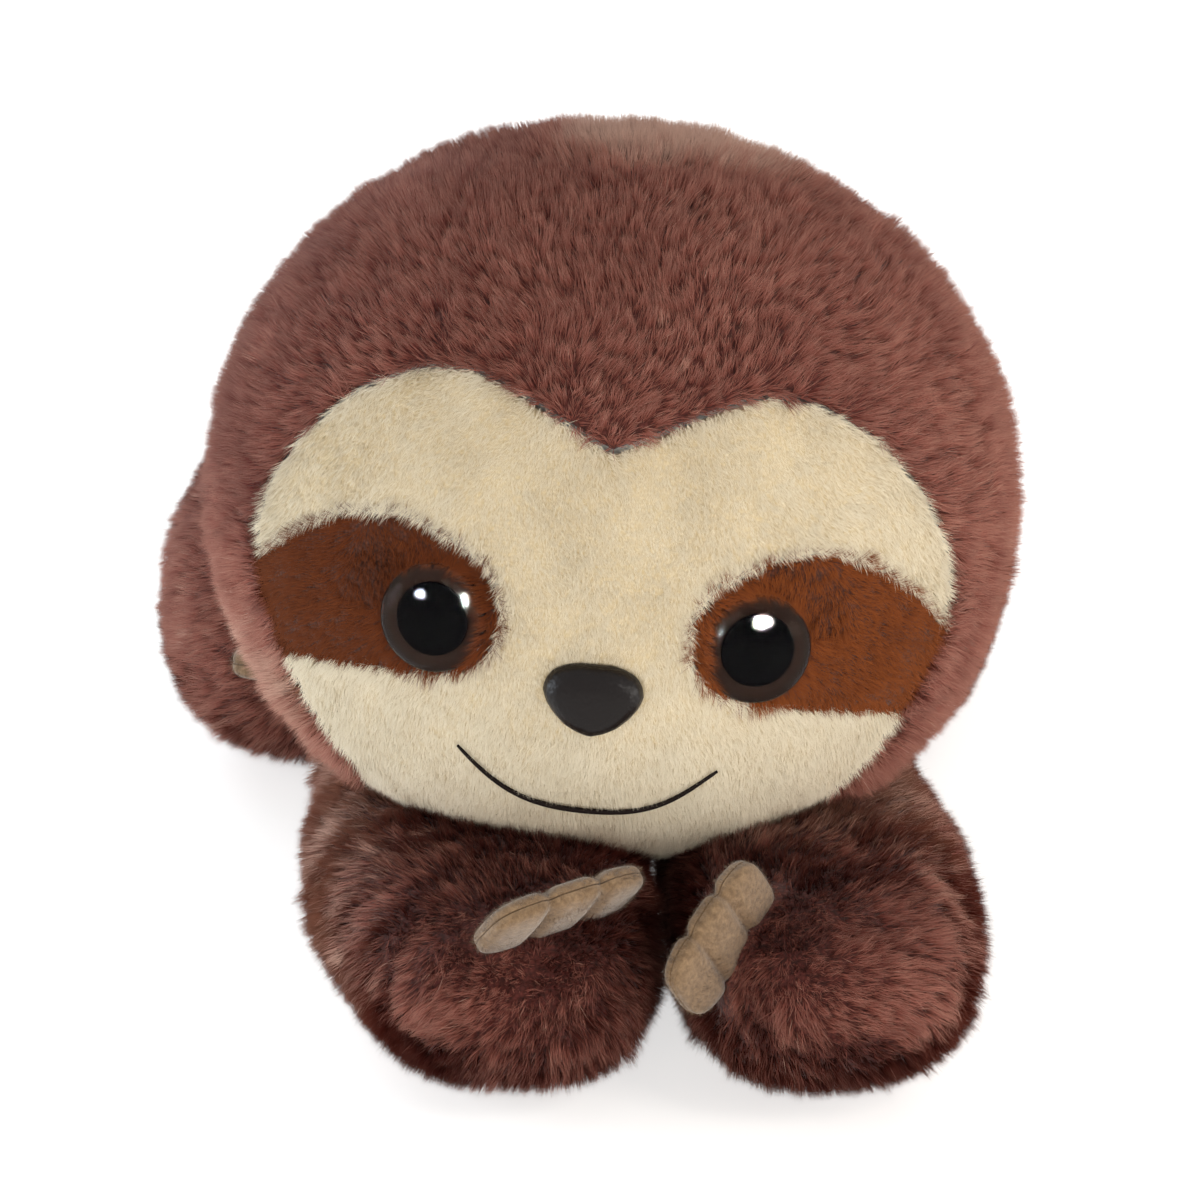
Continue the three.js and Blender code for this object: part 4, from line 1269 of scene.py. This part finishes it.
class SLOTH_OT_inside(bpy.types.Operator):
    """Finishes of the pieces inside: fibre fill, pellet bag and lock washers"""

    bl_idname = "plush_sloth.inside"
    bl_label = "Inside"

    def execute(self, context):
        fill = fibre_fill_material()
        cloth = knit_material("cotton_calico_pellet_bag", linear(0xA39C8C), linear(0xCFC8B8), 0.7)
        nylon = plain_plastic("nylon_washer_moulded", linear(0xE4E4DE), 0.5, grain_mm=0.4, depth_mm=0.02)
        finishes = {"fibre_fill": fill, "pellet_cloth": cloth, "white_nylon": nylon}
        for part in frame["record"]["subparts"]:
            finish = finishes.get(part["material_slot"])
            if finish:
                mesh = nodes[part["node"]].data
                mesh.materials.clear()
                mesh.materials.append(finish)
        return {"FINISHED"}


class SLOTH_PT_panel(bpy.types.Panel):
    bl_idname = "SLOTH_PT_panel"
    bl_label = "Plush sloth"
    bl_space_type = "VIEW_3D"
    bl_region_type = "UI"
    bl_category = "Plush sloth"

    def draw(self, context):
        for operator in OPERATORS:
            self.layout.operator(operator.bl_idname)


OPERATORS = (
    SLOTH_OT_stage,
    SLOTH_OT_inside,
    SLOTH_OT_head,
    SLOTH_OT_neck,
    SLOTH_OT_face,
    SLOTH_OT_eyes,
    SLOTH_OT_nose_and_mouth,
    SLOTH_OT_torso,
    SLOTH_OT_limbs,
    SLOTH_OT_claws,
)
CLASSES = (SlothPile, SlothSizes, SlothColours, SlothSettings, *OPERATORS, SLOTH_PT_panel)


def register():
    for made in CLASSES:
        bpy.utils.register_class(made)
    bpy.types.Scene.plush_sloth = PointerProperty(type=SlothSettings)


def unregister():
    del bpy.types.Scene.plush_sloth
    for made in reversed(CLASSES):
        bpy.utils.unregister_class(made)


# The short piles, where they differ from the long one
SHORT_PILES = {
    "cream": {
        "fibre": 2.0 * MM,
        "width": 0.11 * MM,
        "density": 24,
        "root_lean": math.radians(30),
        "tip_lean": math.radians(66),
        "swirl": 0.25,
        "clump": 0.15,
        "lock": 1.0 * MM,
        "mottle": 0.08,
    },
    "patch": {
        "fibre": 2.5 * MM,
        "width": 0.13 * MM,
        "density": 19,
        "root_lean": math.radians(34),
        "tip_lean": math.radians(74),
        "swirl": 0.3,
        "clump": 0.4,
        "lock": 0.9 * MM,
        "mottle": 0.15,
    },
    "nap": {
        "fibre": 0.9 * MM,
        "width": 0.08 * MM,
        "density": 16,
        "root_lean": math.radians(40),
        "tip_lean": math.radians(75),
        "swirl": 0.9,
        "clump": 0.1,
        "lock": 1.5 * MM,
        "mottle": 0.2,
    },
}


def set_piles():
    for name, values in SHORT_PILES.items():
        for field, value in values.items():
            setattr(getattr(settings().sizes, name), field, value)


def main():
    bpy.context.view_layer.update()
    register()
    set_piles()
    for operator in OPERATORS:
        group, name = operator.bl_idname.split(".")
        getattr(getattr(bpy.ops, group), name)()
    bpy.context.view_layer.update()


if __name__ == "__main__":
    main()
